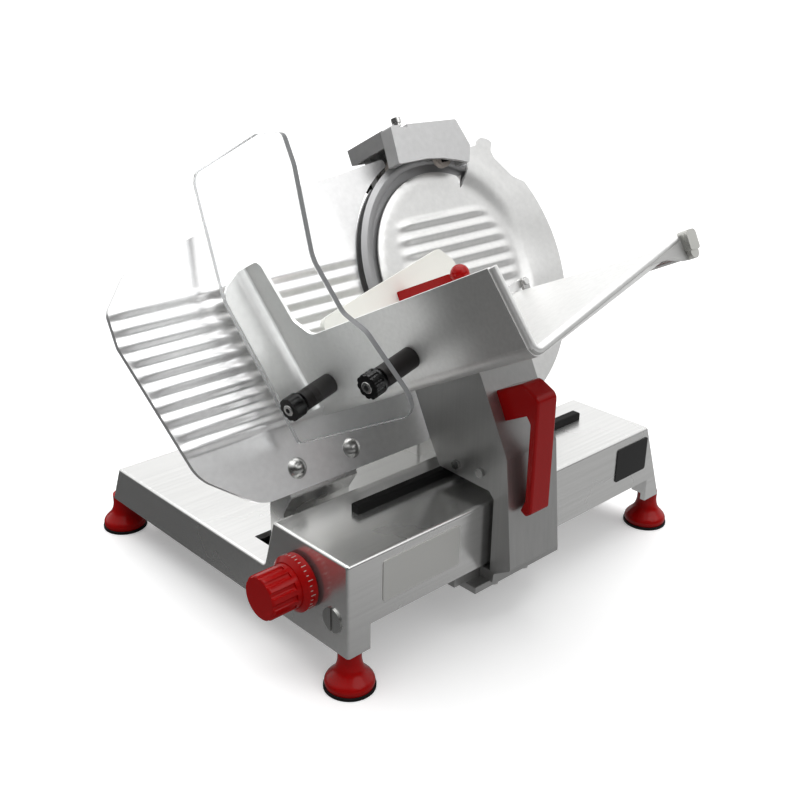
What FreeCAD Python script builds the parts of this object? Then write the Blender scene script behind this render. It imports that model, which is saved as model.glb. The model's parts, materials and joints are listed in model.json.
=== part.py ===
"""Gravity-feed food slicer: base, sliding product carriage, blade, gauge plate and sharpener.

Millimetres, +Z up, +X along the carriage travel, +Y away from the operator.
The model is laid out about the centre of the feet and moved on export, so that
the origin is the bottom centre of the front-left foot.
"""

import math
import os

import FreeCAD
import Part

V = FreeCAD.Vector

# Overall layout
FOOT_X = 225.0
FOOT_Y = 193.8
LEAN = 27.5
TRAY_TILT = 13.0

# Base casting
BASE_LEFT = -238.0
END_SLOPE = math.degrees(math.atan2(36.0, 93.0))
COVER_SCREWS = ((-215, -113), (180, -115), (-200, 150), (190, 150))
BASE_FRONT = -206.8
BASE_BACK = 174.0
BOX_TOP = 133.0
BOX_BACK_TOP = -103.0
BOX_BACK_LOW = -88.0
PLATFORM_TOP = 82.0
BASE_RIM = 40.0
SKIRT_BOTTOM = 66.0
WALL = 6.0

# Guide rod of the carriage
ROD_Y = -186.5
ROD_Z = 71.5
ROD_R = 8.0

# Blade
BLADE_X = 74.0
BLADE_U = 251.0
BLADE_R = 125.0
COVER_R = 103.5
BAND_R = 160.0
COVER_RIBS = (304, 289, 274, 259, 244, 229, 214, 199, 184)
BAND_EDGE = (
    (118, 60), (118, 334), (134, 356), (147, 374, 2), (155, 374), (158, 379, 2), (165, 382, 3), (174, 380, 3),
    (181, 375, 2), (176.6, 368.8), (175, 365.4, 3), (177, 357, 5), (183.8, 349.2), (197, 333.4, 10),
    (214, 324), (300, 324), (300, 60),
)

# Drive
MOTOR_X = 150.0
MOTOR_U = 182.0
SPINDLE_R = 10.0
BLADE_PULLEY_R = 35.0
MOTOR_PULLEY_R = 14.0
BELT_T = 2.6

# Product tray
TRAY_X = -156.0
TRAY_U = 147.0
TRAY_T = 3.0
TRAY_NEAR = 163.5
TRAY_FAR = 440.0
TRAY_BOLTS = ((105, 215), (105, 262), (148, 215), (148, 262))

# Carriage arm
ARM_BOLTS = ((-165, 157), (-196, 160))

# Hand guard
STANDOFF_W = (203, 318)
STANDOFF_C = 28.0
GUARD_D = 40.0
GUARD_T = 5.0
GUARD_BEND = 136.0
GUARD_LEAN = 22.0

# Pusher
PUSH_X = 66.0
PUSH_U = 186.5
PUSH_W = 206.0
PUSH_ROD_R = 4.5
PUSH_SLEEVE_R = 8.0
HINGE_X = 104.0
HINGE_U = 212.0
HANDLE_X = -58.0
HANDLE_U = 227.0

# Gauge plate
GAUGE_SCREWS = (-193.0, -127.0)
GAUGE_PITCH = 14.3

# Thickness dial
DIAL_Y = -145.0
DIAL_Z = 93.0
CAM_X = -176.0
MM_PER_TURN = 18.0


def move(shape, x=0.0, y=0.0, z=0.0):
    """Copy of a shape, moved."""
    result = shape.copy()
    result.translate(V(x, y, z))
    return result


def turn(shape, centre, axis, degrees):
    """Copy of a shape, turned about an axis."""
    result = shape.copy()
    result.rotate(centre, axis, degrees)
    return result


def lean(shape):
    """Lay a shape from the upright blade frame into the leaning one."""
    return turn(shape, V(0, 0, 0), V(1, 0, 0), -LEAN)


def tray_frame(shape):
    """Lay a shape from the tray's own frame into the leaning frame."""
    tilted = turn(shape, V(0, 0, 0), V(0, 1, 0), -TRAY_TILT)
    return lean(move(tilted, TRAY_X, 0, TRAY_U))


def leaning_point(x, w, u):
    """World point of leaning coordinates."""
    angle = math.radians(LEAN)
    y = -w * math.cos(angle) + u * math.sin(angle)
    z = w * math.sin(angle) + u * math.cos(angle)
    return V(x, y, z)


def box(x0, x1, y0, y1, z0, z1):
    """Box between two corners."""
    return Part.makeBox(x1 - x0, y1 - y0, z1 - z0, V(x0, y0, z0))


def cyl(start, axis, length, radius):
    """Round bar."""
    return Part.makeCylinder(radius, length, start, axis)


def cone(start, axis, length, r0, r1):
    """Tapered round bar."""
    return Part.makeCone(r0, r1, length, start, axis)


def union(shapes):
    """One shape out of several that touch."""
    first = shapes[0]
    if len(shapes) == 1:
        return first
    return first.multiFuse(shapes[1:]).removeSplitter()


def group(shapes):
    """Several separate solids as one piece of output."""
    return Part.makeCompound(shapes)


def outline(points, radius, place):
    """Closed wire through flat points, each corner rounded by its own or the common radius."""
    count = len(points)
    flat = [V(p[0], p[1], 0) for p in points]
    radii = [p[2] if len(p) > 2 else radius for p in points]
    starts = []
    ends = []
    middles = []
    for i in range(count):
        here = flat[i]
        back = (flat[i - 1] - here).normalize()
        ahead = (flat[(i + 1) % count] - here).normalize()
        half = back.getAngle(ahead) / 2.0
        cut = radii[i] / math.tan(half) if radii[i] > 0 else 0.0
        starts.append(here + back * cut)
        ends.append(here + ahead * cut)
        inward = back + ahead
        if radii[i] > 0 and inward.Length > 1e-6:
            inward.normalize()
            reach = radii[i] / math.sin(half) - radii[i]
            middles.append(here + inward * reach)
        else:
            middles.append(here)
    edges = []
    for i in range(count):
        if radii[i] > 0:
            edges.append(Part.Arc(place(starts[i]), place(middles[i]), place(ends[i])).toShape())
        following = starts[(i + 1) % count]
        if (following - ends[i]).Length > 1e-6:
            edges.append(Part.makeLine(place(ends[i]), place(following)))
    return Part.Wire(edges)


def prism_x(points, x0, x1, radius=0.0):
    """Outline in Y and Z, drawn out along X."""
    wire = outline(points, radius, lambda p: V(x0, p.x, p.y))
    return Part.Face(wire).extrude(V(x1 - x0, 0, 0))


def prism_y(points, y0, y1, radius=0.0):
    """Outline in X and Z, drawn out along Y."""
    wire = outline(points, radius, lambda p: V(p.x, y0, p.y))
    return Part.Face(wire).extrude(V(0, y1 - y0, 0))


def prism_z(points, z0, z1, radius=0.0):
    """Outline in X and Y, drawn out along Z."""
    wire = outline(points, radius, lambda p: V(p.x, p.y, z0))
    return Part.Face(wire).extrude(V(0, 0, z1 - z0))


def slab(points, w0, w1, radius=0.0):
    """Outline in X and u of the leaning frame, between two distances from its plane."""
    return prism_y(points, -w1, -w0, radius)


def disc(x, u, w0, w1, radius):
    """Round bar across the leaning frame's planes."""
    return cyl(V(x, -w1, u), V(0, 1, 0), w1 - w0, radius)


def rounded(shape, radius, test):
    """Shape with the edges that pass a test on their middle and direction rounded."""
    edges = []
    for edge in shape.Edges:
        first = edge.valueAt(edge.FirstParameter)
        last = edge.valueAt(edge.LastParameter)
        middle = (first + last) * 0.5
        along = last - first
        if along.Length > 1e-6:
            along.normalize()
        if test(middle, along):
            edges.append(edge)
    return shape.makeFillet(radius, edges)


def save(node, shape):
    """Write one node, moved so that the origin is under the front-left foot."""
    move(shape, FOOT_X, FOOT_Y, 0).exportStep("parts/" + node + ".step")


def end_plane_cut(offset):
    """Everything beyond the drafted right end, moved in by an offset."""
    slope = 36.0 / 93.0
    at_rim = 228.0 - offset + slope * 20.0
    at_top = 192.0 - offset - slope * 27.0
    low = BASE_RIM - 20
    high = BOX_TOP + 27
    points = [(at_rim, low), (at_top, high), (400, high), (400, low)]
    return prism_y(points, -400, 400)


def base_casting():
    """Hollow base with raised front box, low platform, corner legs and inner lugs."""
    profile = [
        (BASE_FRONT, BASE_RIM),
        (BASE_FRONT, BOX_TOP, 4),
        (BOX_BACK_TOP, BOX_TOP, 4),
        (BOX_BACK_LOW, PLATFORM_TOP, 4),
        (BASE_BACK, PLATFORM_TOP, 5),
        (BASE_BACK + 18, BASE_RIM),
    ]
    outer = prism_x(profile, BASE_LEFT, 240)
    outer = outer.cut(end_plane_cut(0))
    outer = rounded(outer, 4.0, lambda m, d: m.x > 180 and m.z > 67 and m.y > -206)
    outer = rounded(outer, 3.0, lambda m, d: m.x < BASE_LEFT + 0.1 and m.z > BASE_RIM + 1)
    inside = [
        (BASE_FRONT + WALL, BASE_RIM - 10),
        (BASE_FRONT + WALL, BOX_TOP - WALL),
        (BOX_BACK_TOP - 4, BOX_TOP - WALL),
        (BOX_BACK_LOW - 5, PLATFORM_TOP - WALL),
        (BASE_BACK - 3, PLATFORM_TOP - WALL),
        (BASE_BACK + 16, BASE_RIM - 10),
    ]
    hollow = prism_x(inside, BASE_LEFT + WALL, 240).cut(end_plane_cut(WALL))
    shell = outer.cut(hollow)
    skirt_gap = box(-214, 200, -212, -198, 20, SKIRT_BOTTOM)
    shell = shell.cut(skirt_gap)
    legs = []
    for sx in (-1, 1):
        for sy in (-1, 1):
            top = 92 if sy < 0 else 78
            x = sx * FOOT_X
            y = sy * FOOT_Y
            legs.append(box(x - 13, x + 13, y - 13, y + 13, BASE_RIM, top))
    corners = [leg.common(outer) for leg in legs]
    lug_high = box(-178, -148, -101, -95, 60, 92)
    lug_low = box(-178, -148, -42, -37, BASE_RIM + 2, 78)
    dial_boss = cyl(V(BASE_LEFT + 3, DIAL_Y, DIAL_Z), V(1, 0, 0), 18, 14)
    cover_posts = []
    for x, y in COVER_SCREWS:
        height = 88 if y < 0 else 38
        cover_posts.append(cyl(V(x, y, BASE_RIM + 1.5), V(0, 0, 1), height, 6))
    body = union([shell] + corners + [lug_high, lug_low, dial_boss] + cover_posts)
    body = body.cut(cyl(V(-260, ROD_Y, ROD_Z), V(1, 0, 0), 500, ROD_R))
    body = body.cut(cyl(V(BASE_LEFT - 5, ROD_Y, ROD_Z), V(1, 0, 0), 11, 12))
    body = body.cut(cyl(V(200, ROD_Y, ROD_Z), V(1, 0, 0), 60, 12))
    body = body.cut(cyl(V(-260, DIAL_Y, DIAL_Z), V(1, 0, 0), 60, 5.05))
    rod = gauge_rod_solid()
    body = body.cut(rod)
    body = body.cut(box(-214, -118, -87, -41, 70, 90))
    body = body.cut(box(40, 196, -8, 134, 70, 90))
    for x, y in COVER_SCREWS:
        body = body.cut(cyl(V(x, y, BASE_RIM), V(0, 0, 1), 14, 2))
    for sx in (-1, 1):
        for sy in (-1, 1):
            body = body.cut(cyl(V(sx * FOOT_X, sy * FOOT_Y, BASE_RIM - 1), V(0, 0, 1), 21, 3))
    return body


def gauge_rod_solid():
    """Sloping rod that guides the gauge plate's carrier."""
    return cyl(along_gauge_rod(-32.7), rod_direction(), 72, 4)


def bottom_cover():
    """Flat sheet under the base, leaving the carriage's channel open."""
    sheet = box(-231, 212, -156, 184, BASE_RIM, BASE_RIM + 1.5)
    for x, y in COVER_SCREWS:
        sheet = sheet.cut(cyl(V(x, y, 30), V(0, 0, 1), 20, 2.2))
    sheet = sheet.cut(end_plane_cut(WALL + 3))
    for sx in (-1, 1):
        sheet = sheet.cut(box(sx * FOOT_X - 15, sx * FOOT_X + 15, FOOT_Y - 15, FOOT_Y + 20, 30, 60))
    slots = []
    for i in range(7):
        slots.append(box(40 + i * 12, 46 + i * 12, 40, 100, 30, 60))
    return sheet.cut(group(slots))


def bottom_cover_screws():
    """Four pan-head screws."""
    screws = []
    for x, y in COVER_SCREWS:
        head = cyl(V(x, y, BASE_RIM - 2.2), V(0, 0, 1), 2.2, 4)
        screws.append(head.fuse(cyl(V(x, y, BASE_RIM), V(0, 0, 1), 13, 2)))
    return group(screws)


def foot(sx, sy):
    """Flared foot with a slim neck."""
    x = sx * FOOT_X
    y = sy * FOOT_Y
    points = [
        (0, 3), (22.5, 3), (23.2, 6), (22, 10), (17.5, 15), (13.2, 21), (11.4, 27),
        (11, 33), (11, BASE_RIM), (0, BASE_RIM),
    ]
    ends = [V(p[0], 0, p[1]) for p in points]
    lines = [Part.makeLine(ends[0], ends[1]), Part.makeLine(ends[1], ends[2])]
    curve = Part.BSplineCurve()
    curve.interpolate(ends[2:8])
    lines.append(curve.toShape())
    lines.append(Part.makeLine(ends[7], ends[8]))
    lines.append(Part.makeLine(ends[8], ends[9]))
    lines.append(Part.makeLine(ends[9], ends[0]))
    solid = Part.Face(Part.Wire(lines)).revolve(V(0, 0, 0), V(0, 0, 1), 360)
    return move(solid, x, y, 0)


def feet():
    """Four flared feet."""
    return group([foot(sx, sy) for sx in (-1, 1) for sy in (-1, 1)])


def foot_pads():
    """Rubber pad under each foot."""
    pads = []
    for sx in (-1, 1):
        for sy in (-1, 1):
            pads.append(cyl(V(sx * FOOT_X, sy * FOOT_Y, 0), V(0, 0, 1), 3, 24))
    return group(pads)


def rail_strip():
    """Black running strip on the front box."""
    strip = box(-172, 150, -145, -135, BOX_TOP, BOX_TOP + 9)
    return rounded(strip, 2.0, lambda m, d: m.z > BOX_TOP + 8)


def guide_rod():
    """Round rod that the carriage runs on."""
    return cyl(V(-230, ROD_Y, ROD_Z), V(1, 0, 0), 430, ROD_R)


def rod_end_plugs():
    """Slotted plugs that close the rod's holes."""
    left = cyl(V(BASE_LEFT - 1.5, ROD_Y, ROD_Z), V(1, 0, 0), 7.5, 12)
    left = left.cut(box(BASE_LEFT - 3, BASE_LEFT + 0.5, ROD_Y - 1.5, ROD_Y + 1.5, ROD_Z - 14, ROD_Z + 14))
    right = cyl(V(200, ROD_Y, ROD_Z), V(1, 0, 0), 12, 12)
    return group([left, right])


def slide_block():
    """Block that slides on the guide rod and carries the arm."""
    body = box(-99, 39, -199.5, -174.5, 50, 85)
    flange = box(-84, 39, -213, -174.5, 43, 50)
    block = union([body, flange])
    block = block.cut(cyl(V(-110, ROD_Y, ROD_Z), V(1, 0, 0), 170, 10))
    for x in (-52, -8):
        block = block.cut(cyl(V(x, -207.5, 40), V(0, 0, 1), 20, 2.5))
    return rounded(block, 2.0, lambda m, d: m.z > 84)


def slide_bushes():
    """Two plain bushes in the slide block."""
    bushes = []
    for x in (-99, 14):
        bush = cyl(V(x, ROD_Y, ROD_Z), V(1, 0, 0), 25, 10)
        bushes.append(bush.cut(cyl(V(x - 1, ROD_Y, ROD_Z), V(1, 0, 0), 27, ROD_R + 0.04)))
    return group(bushes)


def arm_profile():
    """Side outline of the carriage arm in Y and Z."""
    high_near = leaning_point(0, 193, 210)
    high_far = leaning_point(0, 285.5, 210)
    low_far = leaning_point(0, 285.5, 65.5)
    return [
        (high_near.y, high_near.z),
        (high_far.y, high_far.z),
        (low_far.y, low_far.z),
        (-226, 183, 4),
        (-238, 72, 3),
        (-218, 60, 3),
        (-217, 50),
        (-200, 50),
        (-200, 62),
        (-213, 62),
        (-213, 138, 3),
        (-207, 144.5, 3),
        (-142, 147, 3),
        (-126, 175, 3),
    ]


def carriage_arm():
    """Cast arm between the slide block and the product tray."""
    arm = prism_x(arm_profile(), -65, 5)
    above = tray_frame(box(-300, 500, -500, 0, -TRAY_T, 400))
    arm = arm.cut(above)
    for x in (-52, -8):
        arm = arm.cut(cyl(V(x, -207.5, 43), V(0, 0, 1), 14, 2.5))
    arm = arm.cut(roller_pocket())
    arm = arm.cut(cyl(V(-30, -149, 151), V(0, 1, 0), 18, 2))
    for bolt in arm_bolt_shanks():
        arm = arm.cut(bolt)
    for bolt in tray_bolt_shanks():
        arm = arm.cut(bolt)
    return arm


def roller_pocket():
    """Room for the roller in the arm's underside."""
    return box(-41, -19, -145, -135, 130, 162)


def carriage_roller():
    """Roller that rests on the running strip."""
    wheel = cyl(V(-30, -144.2, 151), V(0, 1, 0), 8.4, 8.9)
    return wheel.cut(cyl(V(-30, -150, 151), V(0, 1, 0), 20, 2.05))


def roller_pin():
    """Pin of the roller, pressed into the arm."""
    return cyl(V(-30, -149, 151), V(0, 1, 0), 18, 2)


def arm_bolt_shanks():
    """Shanks of the bolts in the arm's left side."""
    return [cyl(V(-65, y, z), V(1, 0, 0), 12, 2.5) for y, z in ARM_BOLTS]


def arm_bolts():
    """Hexagon bolts in the arm's left side and the two below, into the slide block."""
    bolts = []
    for y, z in ARM_BOLTS:
        corners = []
        for k in range(6):
            a = math.radians(60 * k + 10)
            corners.append((y + 5 * math.cos(a), z + 5 * math.sin(a)))
        head = prism_x(corners, -68.5, -65)
        shank = cyl(V(-65, y, z), V(1, 0, 0), 12, 2.5)
        bolts.append(head.fuse(shank))
    for x in (-52, -8):
        head = cyl(V(x, -207.5, 40.5), V(0, 0, 1), 2.5, 4.5)
        bolts.append(head.fuse(cyl(V(x, -207.5, 43), V(0, 0, 1), 14, 2.5)))
    return group(bolts)


def tray_bolt_shanks():
    """Shanks of the countersunk screws through the tray floor."""
    return [tray_frame(disc_up(a, w, -14, 0, 2.5)) for a, w in TRAY_BOLTS]


def disc_up(a, w, c0, c1, radius):
    """Round bar standing on the tray floor, in the tray's frame."""
    return cyl(V(a, -w, c0), V(0, 0, 1), c1 - c0, radius)


def tray_bolts():
    """Countersunk screws that hold the tray on the arm."""
    screws = []
    for a, w in TRAY_BOLTS:
        shank = disc_up(a, w, -14, -2.5, 2.5)
        head = cone(V(a, -w, -2.5), V(0, 0, 1), 2.5, 2.5, 5)
        screws.append(tray_frame(shank.fuse(head)))
    return group(screws)


def carriage_handle():
    """Red hand grip of the carriage."""
    top_near = leaning_point(0, 285.5, 121)
    low_near = leaning_point(0, 285.5, 92)
    points = [
        (top_near.y, top_near.z),
        (-226.5, 254.6, 8),
        (-247, 245, 9),
        (-247, 131, 4),
        (-240.5, 126, 3),
        (-233.5, 130, 2),
        (-238.5, 142, 6),
        (-238.5, 219, 5),
        (-233.5, 225.3),
        (low_near.y, low_near.z),
    ]
    handle = prism_x(points, -52, -25)
    return rounded(handle, 2.5, lambda m, d: m.y < -238 and abs(d.x) < 0.5 and m.z > 132)


def tray_section(w0, w1, wall_height, floor_far):
    """Length of V-shaped tray with a rounded inner corner, in the tray's frame."""
    points = [
        (-TRAY_T, -TRAY_T, 12),
        (floor_far, -TRAY_T),
        (floor_far, 0),
        (0, 0, 9),
        (0, wall_height),
        (-TRAY_T, wall_height),
    ]
    return prism_y(points, -w1, -w0)


def product_tray():
    """V-shaped product tray with prong, flange, rolled edge and pusher rod holders."""
    trough = tray_section(TRAY_NEAR, TRAY_FAR, 152, 262)
    wall_cut = [
        (-TRAY_FAR - 5, 74),
        (-212, 74, 10),
        (-198, 92, 6),
        (-194, 153),
        (-194, 200),
        (-TRAY_FAR - 5, 200),
    ]
    trough = trough.cut(prism_x(wall_cut, -40, 30))
    prong_round = box(-40, 30, -TRAY_NEAR - 8, -TRAY_NEAR + 1, 144, 160)
    prong_round = prong_round.cut(cyl(V(-41, -TRAY_NEAR - 8, 144), V(1, 0, 0), 72, 8))
    trough = trough.cut(prong_round)
    far_corner = [
        (262, -TRAY_NEAR + 1),
        (262, -TRAY_NEAR - 4),
        (226, -390, 60),
        (222, -TRAY_FAR - 6),
        (300, -TRAY_FAR - 6),
        (300, -TRAY_NEAR + 1),
    ]
    trough = trough.cut(prism_z(far_corner, -30, 30))
    flange = [
        (-TRAY_T, 0),
        (-34, 12, 4),
        (-34, 142, 22),
        (-TRAY_T, 152),
    ]
    flange = prism_y(flange, -TRAY_NEAR - 3, -TRAY_NEAR)
    lip = prism_y([(14, -6), (216, -6), (216, 0), (14, 0)], -TRAY_FAR - 3, -TRAY_FAR + 3)
    lip = rounded(lip, 2.5, lambda m, d: abs(d.x) > 0.9 and m.y < -TRAY_FAR)
    far_web = [(164, -5), (164, -1), (216, -1), (217, -10.5, 2), (200, -10)]
    far_web = prism_y(far_web, -TRAY_FAR - 1.5, -TRAY_FAR + 3)
    tray = union([trough, flange, lip, far_web, tray_lug(172, 180)])
    tray = tray_frame(tray)
    tray = tray.cut(lean(disc(PUSH_X, PUSH_U, 150, 460, PUSH_ROD_R)))
    for shank in tray_screw_holes():
        tray = tray.cut(shank)
    for w in STANDOFF_W:
        tray = tray.cut(standoff_screw(w))
    return tray


def tray_lug(w0, w1):
    """Lug under the tray's floor that holds the pusher rod, in the tray's frame."""
    angle = math.radians(TRAY_TILT)
    dx = PUSH_X - TRAY_X
    du = PUSH_U - TRAY_U
    a = dx * math.cos(angle) + du * math.sin(angle)
    c = -dx * math.sin(angle) + du * math.cos(angle)
    eye = cyl(V(a, -w1, c), V(0, 1, 0), w1 - w0, 9)
    web = box(a - 26, a + 3, -w1, -w0, c - 3, -1)
    return union([eye, web])


def tray_screw_holes():
    """Countersunk holes in the tray floor."""
    holes = []
    for a, w in TRAY_BOLTS:
        shank = disc_up(a, w, -14, -2.5, 2.5)
        head = cone(V(a, -w, -2.5), V(0, 0, 1), 2.5, 2.5, 5)
        holes.append(tray_frame(shank.fuse(head)))
    return holes


def across_wall(w, d0, d1, radius):
    """Round bar standing off the tray's wall."""
    return tray_frame(cyl(V(-d1, -w, STANDOFF_C), V(1, 0, 0), d1 - d0, radius))


def standoff_screw(w):
    """Stud through wall, standoff, guard and knob."""
    return across_wall(w, -2, 52, 2.5)


def guard_standoffs():
    """Two dark spacers between the wall and the guard."""
    posts = []
    for w in STANDOFF_W:
        post = across_wall(w, TRAY_T, GUARD_D, 9.5)
        posts.append(post.cut(standoff_screw(w)))
    return group(posts)


def guard_studs():
    """Studs of the guard with domed inner heads."""
    studs = []
    for w in STANDOFF_W:
        head = across_wall(w, -2.5, 0, 5)
        studs.append(standoff_screw(w).fuse(head))
    return group(studs)


def hand_guard():
    """Clear guard plate beside the product tray, its upper part leaning over the tray."""
    lower = [
        (-343, -8, 18),
        (-170, -8),
        (-175, GUARD_BEND),
        (-315, GUARD_BEND),
        (-317, 88, 14),
        (-332, 68, 16),
        (-342, 14, 20),
    ]
    lower = prism_x(lower, -GUARD_D - GUARD_T, -GUARD_D)
    upper = [
        (-175, 0),
        (-315, 0),
        (-313.5, 75, 30),
        (-307, 104, 10),
        (-271, 115.5, 12),
        (-159.5, 118, 10),
    ]
    upper = prism_x(upper, 0, GUARD_T)
    upper = turn(upper, V(GUARD_T, 0, 0), V(0, 1, 0), GUARD_LEAN)
    upper = move(upper, -GUARD_D - GUARD_T, 0, GUARD_BEND)
    bend = cyl(V(-GUARD_D, -315, GUARD_BEND), V(0, 1, 0), 140, GUARD_T)
    bend = bend.common(box(-GUARD_D - GUARD_T - 1, -GUARD_D, -315, -175, GUARD_BEND, GUARD_BEND + 6))
    guard = tray_frame(union([lower, bend, upper]))
    for w in STANDOFF_W:
        guard = guard.cut(standoff_screw(w))
    return guard


def guard_knob(w):
    """Fluted knob that clamps the guard."""
    knob = across_wall(w, GUARD_D + 5, GUARD_D + 17, 11)
    flutes = []
    for k in range(10):
        a = math.radians(36 * k)
        start = V(-GUARD_D - 18, -w + 12.2 * math.cos(a), STANDOFF_C + 12.2 * math.sin(a))
        flutes.append(tray_frame(cyl(start, V(1, 0, 0), 11, 2.2)))
    knob = knob.cut(group(flutes))
    return knob.cut(across_wall(w, 40, 52.2, 2.55))


def pusher_rod():
    """Rod under the tray's edge that the pusher slides and swings on."""
    return lean(disc(PUSH_X, PUSH_U, 166, 446, PUSH_ROD_R))


def pusher_rod_end():
    """Block on the tray's tip that holds the end of the pusher rod."""
    points = [(58.6, 188, 2), (72.6, 188, 3), (72.6, 206, 4), (58.6, 206, 3)]
    block = slab(points, TRAY_FAR + 0.2, TRAY_FAR + 10)
    socket = disc(PUSH_X, PUSH_U, TRAY_FAR + 0.2, TRAY_FAR + 8, 5.8)
    return lean(union([block, socket]).cut(disc(PUSH_X, PUSH_U, 430, 446, PUSH_ROD_R)))


def pusher_sleeve():
    """Sleeve that slides along the pusher rod, with the bracket of the arm's hinge."""
    sleeve = disc(PUSH_X, PUSH_U, PUSH_W - 2, PUSH_W + 50, PUSH_SLEEVE_R)
    points = [
        (PUSH_X + 3, PUSH_U - 6.5),
        (HINGE_X + 4.5, PUSH_U - 3, 8),
        (HINGE_X + 4.5, HINGE_U + 4.5, 3),
        (HINGE_X - 4.5, HINGE_U + 4.5, 3),
        (HINGE_X - 5.5, PUSH_U + 6, 4),
        (PUSH_X + 3, PUSH_U + 4.5),
    ]
    bracket = slab(points, PUSH_W + 7.2, PUSH_W + 11.2)
    whole = union([sleeve, bracket])
    whole = whole.cut(disc(PUSH_X, PUSH_U, 100, 300, PUSH_ROD_R + 0.05))
    return lean(whole.cut(disc(HINGE_X, HINGE_U, 100, 300, 2.05)))


def floor_u(x):
    """Height of the tray floor's top face at a place across it."""
    return TRAY_U + (x - TRAY_X) * math.tan(math.radians(TRAY_TILT))


def pusher_arm():
    """Low strap from the hinge, over the tray's floor, to the pusher plate, with its pin and screw."""
    points = [
        (HINGE_X + 4.5, HINGE_U - 4.6, 3),
        (HINGE_X + 4.5, HINGE_U + 4.5, 3),
        (HINGE_X - 6, HINGE_U + 4, 4),
        (24, floor_u(24) + 7, 4),
        (20, 214, 4),
        (-6, 208, 4),
        (-8, floor_u(-8) + 1.5, 2),
        (HINGE_X - 8, floor_u(HINGE_X - 8) + 1.5),
    ]
    strap = slab(points, PUSH_W + 4, PUSH_W + 7)
    pin = disc(HINGE_X, HINGE_U, PUSH_W + 7, PUSH_W + 11.4, 2)
    pin_head = disc(HINGE_X, HINGE_U, PUSH_W + 11.4, PUSH_W + 13, 3.5)
    shank = disc(6, 203, PUSH_W - 1, PUSH_W + 4, 2)
    head = disc(6, 203, PUSH_W + 7, PUSH_W + 10, 4)
    return lean(union([strap, pin, pin_head, shank, head]))


def pusher_plate():
    """Off-white plate that presses the food, with teeth on its face."""
    points = [
        (15, 8, 6),
        (190, 8, 14),
        (196, 62, 14),
        (184, 81, 6),
        (15, 81, 10),
    ]
    plate = prism_y(points, -PUSH_W - 4, -PUSH_W + 2)
    teeth = []
    for i in range(6):
        for j in range(3):
            a = 36 + i * 26
            c = 22 + j * 20
            teeth.append(cone(V(a, -PUSH_W + 2, c), V(0, 1, 0), 6, 3, 0.8))
    plate = union([plate] + teeth)
    plate = tray_frame(plate)
    plate = plate.cut(lean(disc(6, 203, PUSH_W - 1, PUSH_W + 5, 2)))
    return plate.cut(pusher_handle_screw())


def pusher_handle_screw():
    """Stud between the pusher plate and its handle."""
    return lean(disc(HANDLE_X, HANDLE_U, PUSH_W, PUSH_W + 14, 2))


def pusher_handle():
    """Red bar handle with a ball end."""
    w0 = PUSH_W + 4
    w1 = w0 + 78
    points = [
        (-w0, HANDLE_U - 9, 2),
        (-w0, HANDLE_U + 9, 2),
        (-w1, HANDLE_U + 7, 4),
        (-w1, HANDLE_U - 7, 4),
    ]
    bar = lean(prism_x(points, HANDLE_X - 7, HANDLE_X + 7))
    ball = Part.makeSphere(9.0, leaning_point(HANDLE_X, w0 + 82, HANDLE_U + 4))
    return union([bar, ball, pusher_handle_screw()])


def gauge_outline():
    """Front outline of the gauge plate in X and u."""
    points = [
        (-30, 87, 6),
        (-240, 87, 40),
        (-292, 128, 40),
        (-326, 255, 14),
        (-326, 286, 14),
        (-299, 316, 30),
        (-130, 359, 10),
        (-99, 363, 10),
        (-8, 374),
        (-8, 160, 8),
        (-20, 130, 20),
    ]
    return points


def gauge_plate():
    """Ribbed gauge plate with a round cut-out for the blade."""
    front = slab(gauge_outline(), 145, 150)
    top_bridge = slab([(-40, 369), (26, 378, 4), (26, 340), (-40, 300)], 145, 150)
    plate = union([front, top_bridge])
    plate = plate.cut(disc(BLADE_X, BLADE_U, 100, 200, BLADE_R + 3))
    ribs = []
    for i in range(10):
        u = 284 - GAUGE_PITCH * i
        bar = cyl(V(-340, -146.4, u), V(1, 0, 0), 400, 6.1)
        ribs.append(bar)
    edge_keep = slab(inset_gauge(), 148, 156)
    edge_keep = edge_keep.cut(disc(BLADE_X, BLADE_U, 100, 200, BLADE_R + 6.5))
    ridges = [bar.common(edge_keep) for bar in ribs]
    plate = union([plate] + ridges)
    for x in GAUGE_SCREWS:
        plate = plate.cut(disc(x, 107.5, 120, 160, 3))
    return lean(plate)


def inset_gauge():
    """Area of the gauge plate that carries ribs."""
    return [
        (-40, 150),
        (-292, 150),
        (-322, 258),
        (-322, 286, 12),
        (-312, 296),
        (-9, 296),
        (-9, 150),
    ]


def gauge_screws():
    """Domed screws that hold the gauge plate on its carrier."""
    screws = []
    for x in GAUGE_SCREWS:
        shank = disc(x, 107.5, 138, 150, 3)
        dome = Part.makeSphere(11, V(x, -146, 107.5))
        dome = dome.common(box(x - 20, x + 20, -170, -150, 80, 130))
        screws.append(lean(shank.fuse(dome)))
    return group(screws)


def gauge_carrier():
    """Bracket and sliding sleeve behind the gauge plate."""
    top = leaning_point(0, 145, 120)
    low = leaning_point(0, 145, 82)
    bracket = [
        (top.y, top.z),
        (low.y, low.z, 2),
        (-78, 120, 6),
        (-78, 90, 2),
        (-57, 90, 2),
        (-57, 118, 14),
        (top.y + 12, top.z - 3, 3),
    ]
    bracket = prism_x(bracket, -206, -126)
    neck = box(-172, -136, -77, -57, 54, 92)
    sleeve = cyl(along_gauge_rod(-9), rod_direction(), 24, 8)
    reach = prism_x([(-62, 50), (-62, 60), (-130, 88.5), (-130, 80)], -146, -138)
    pin = cyl(V(-178, *follower_point()), V(1, 0, 0), 40, 3)
    body = union([bracket, neck, sleeve, reach, pin])
    body = body.cut(cyl(along_gauge_rod(-60), rod_direction(), 120, 4.05))
    for x in GAUGE_SCREWS:
        body = body.cut(lean(disc(x, 107.5, 138, 150, 3)))
    return body


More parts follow.
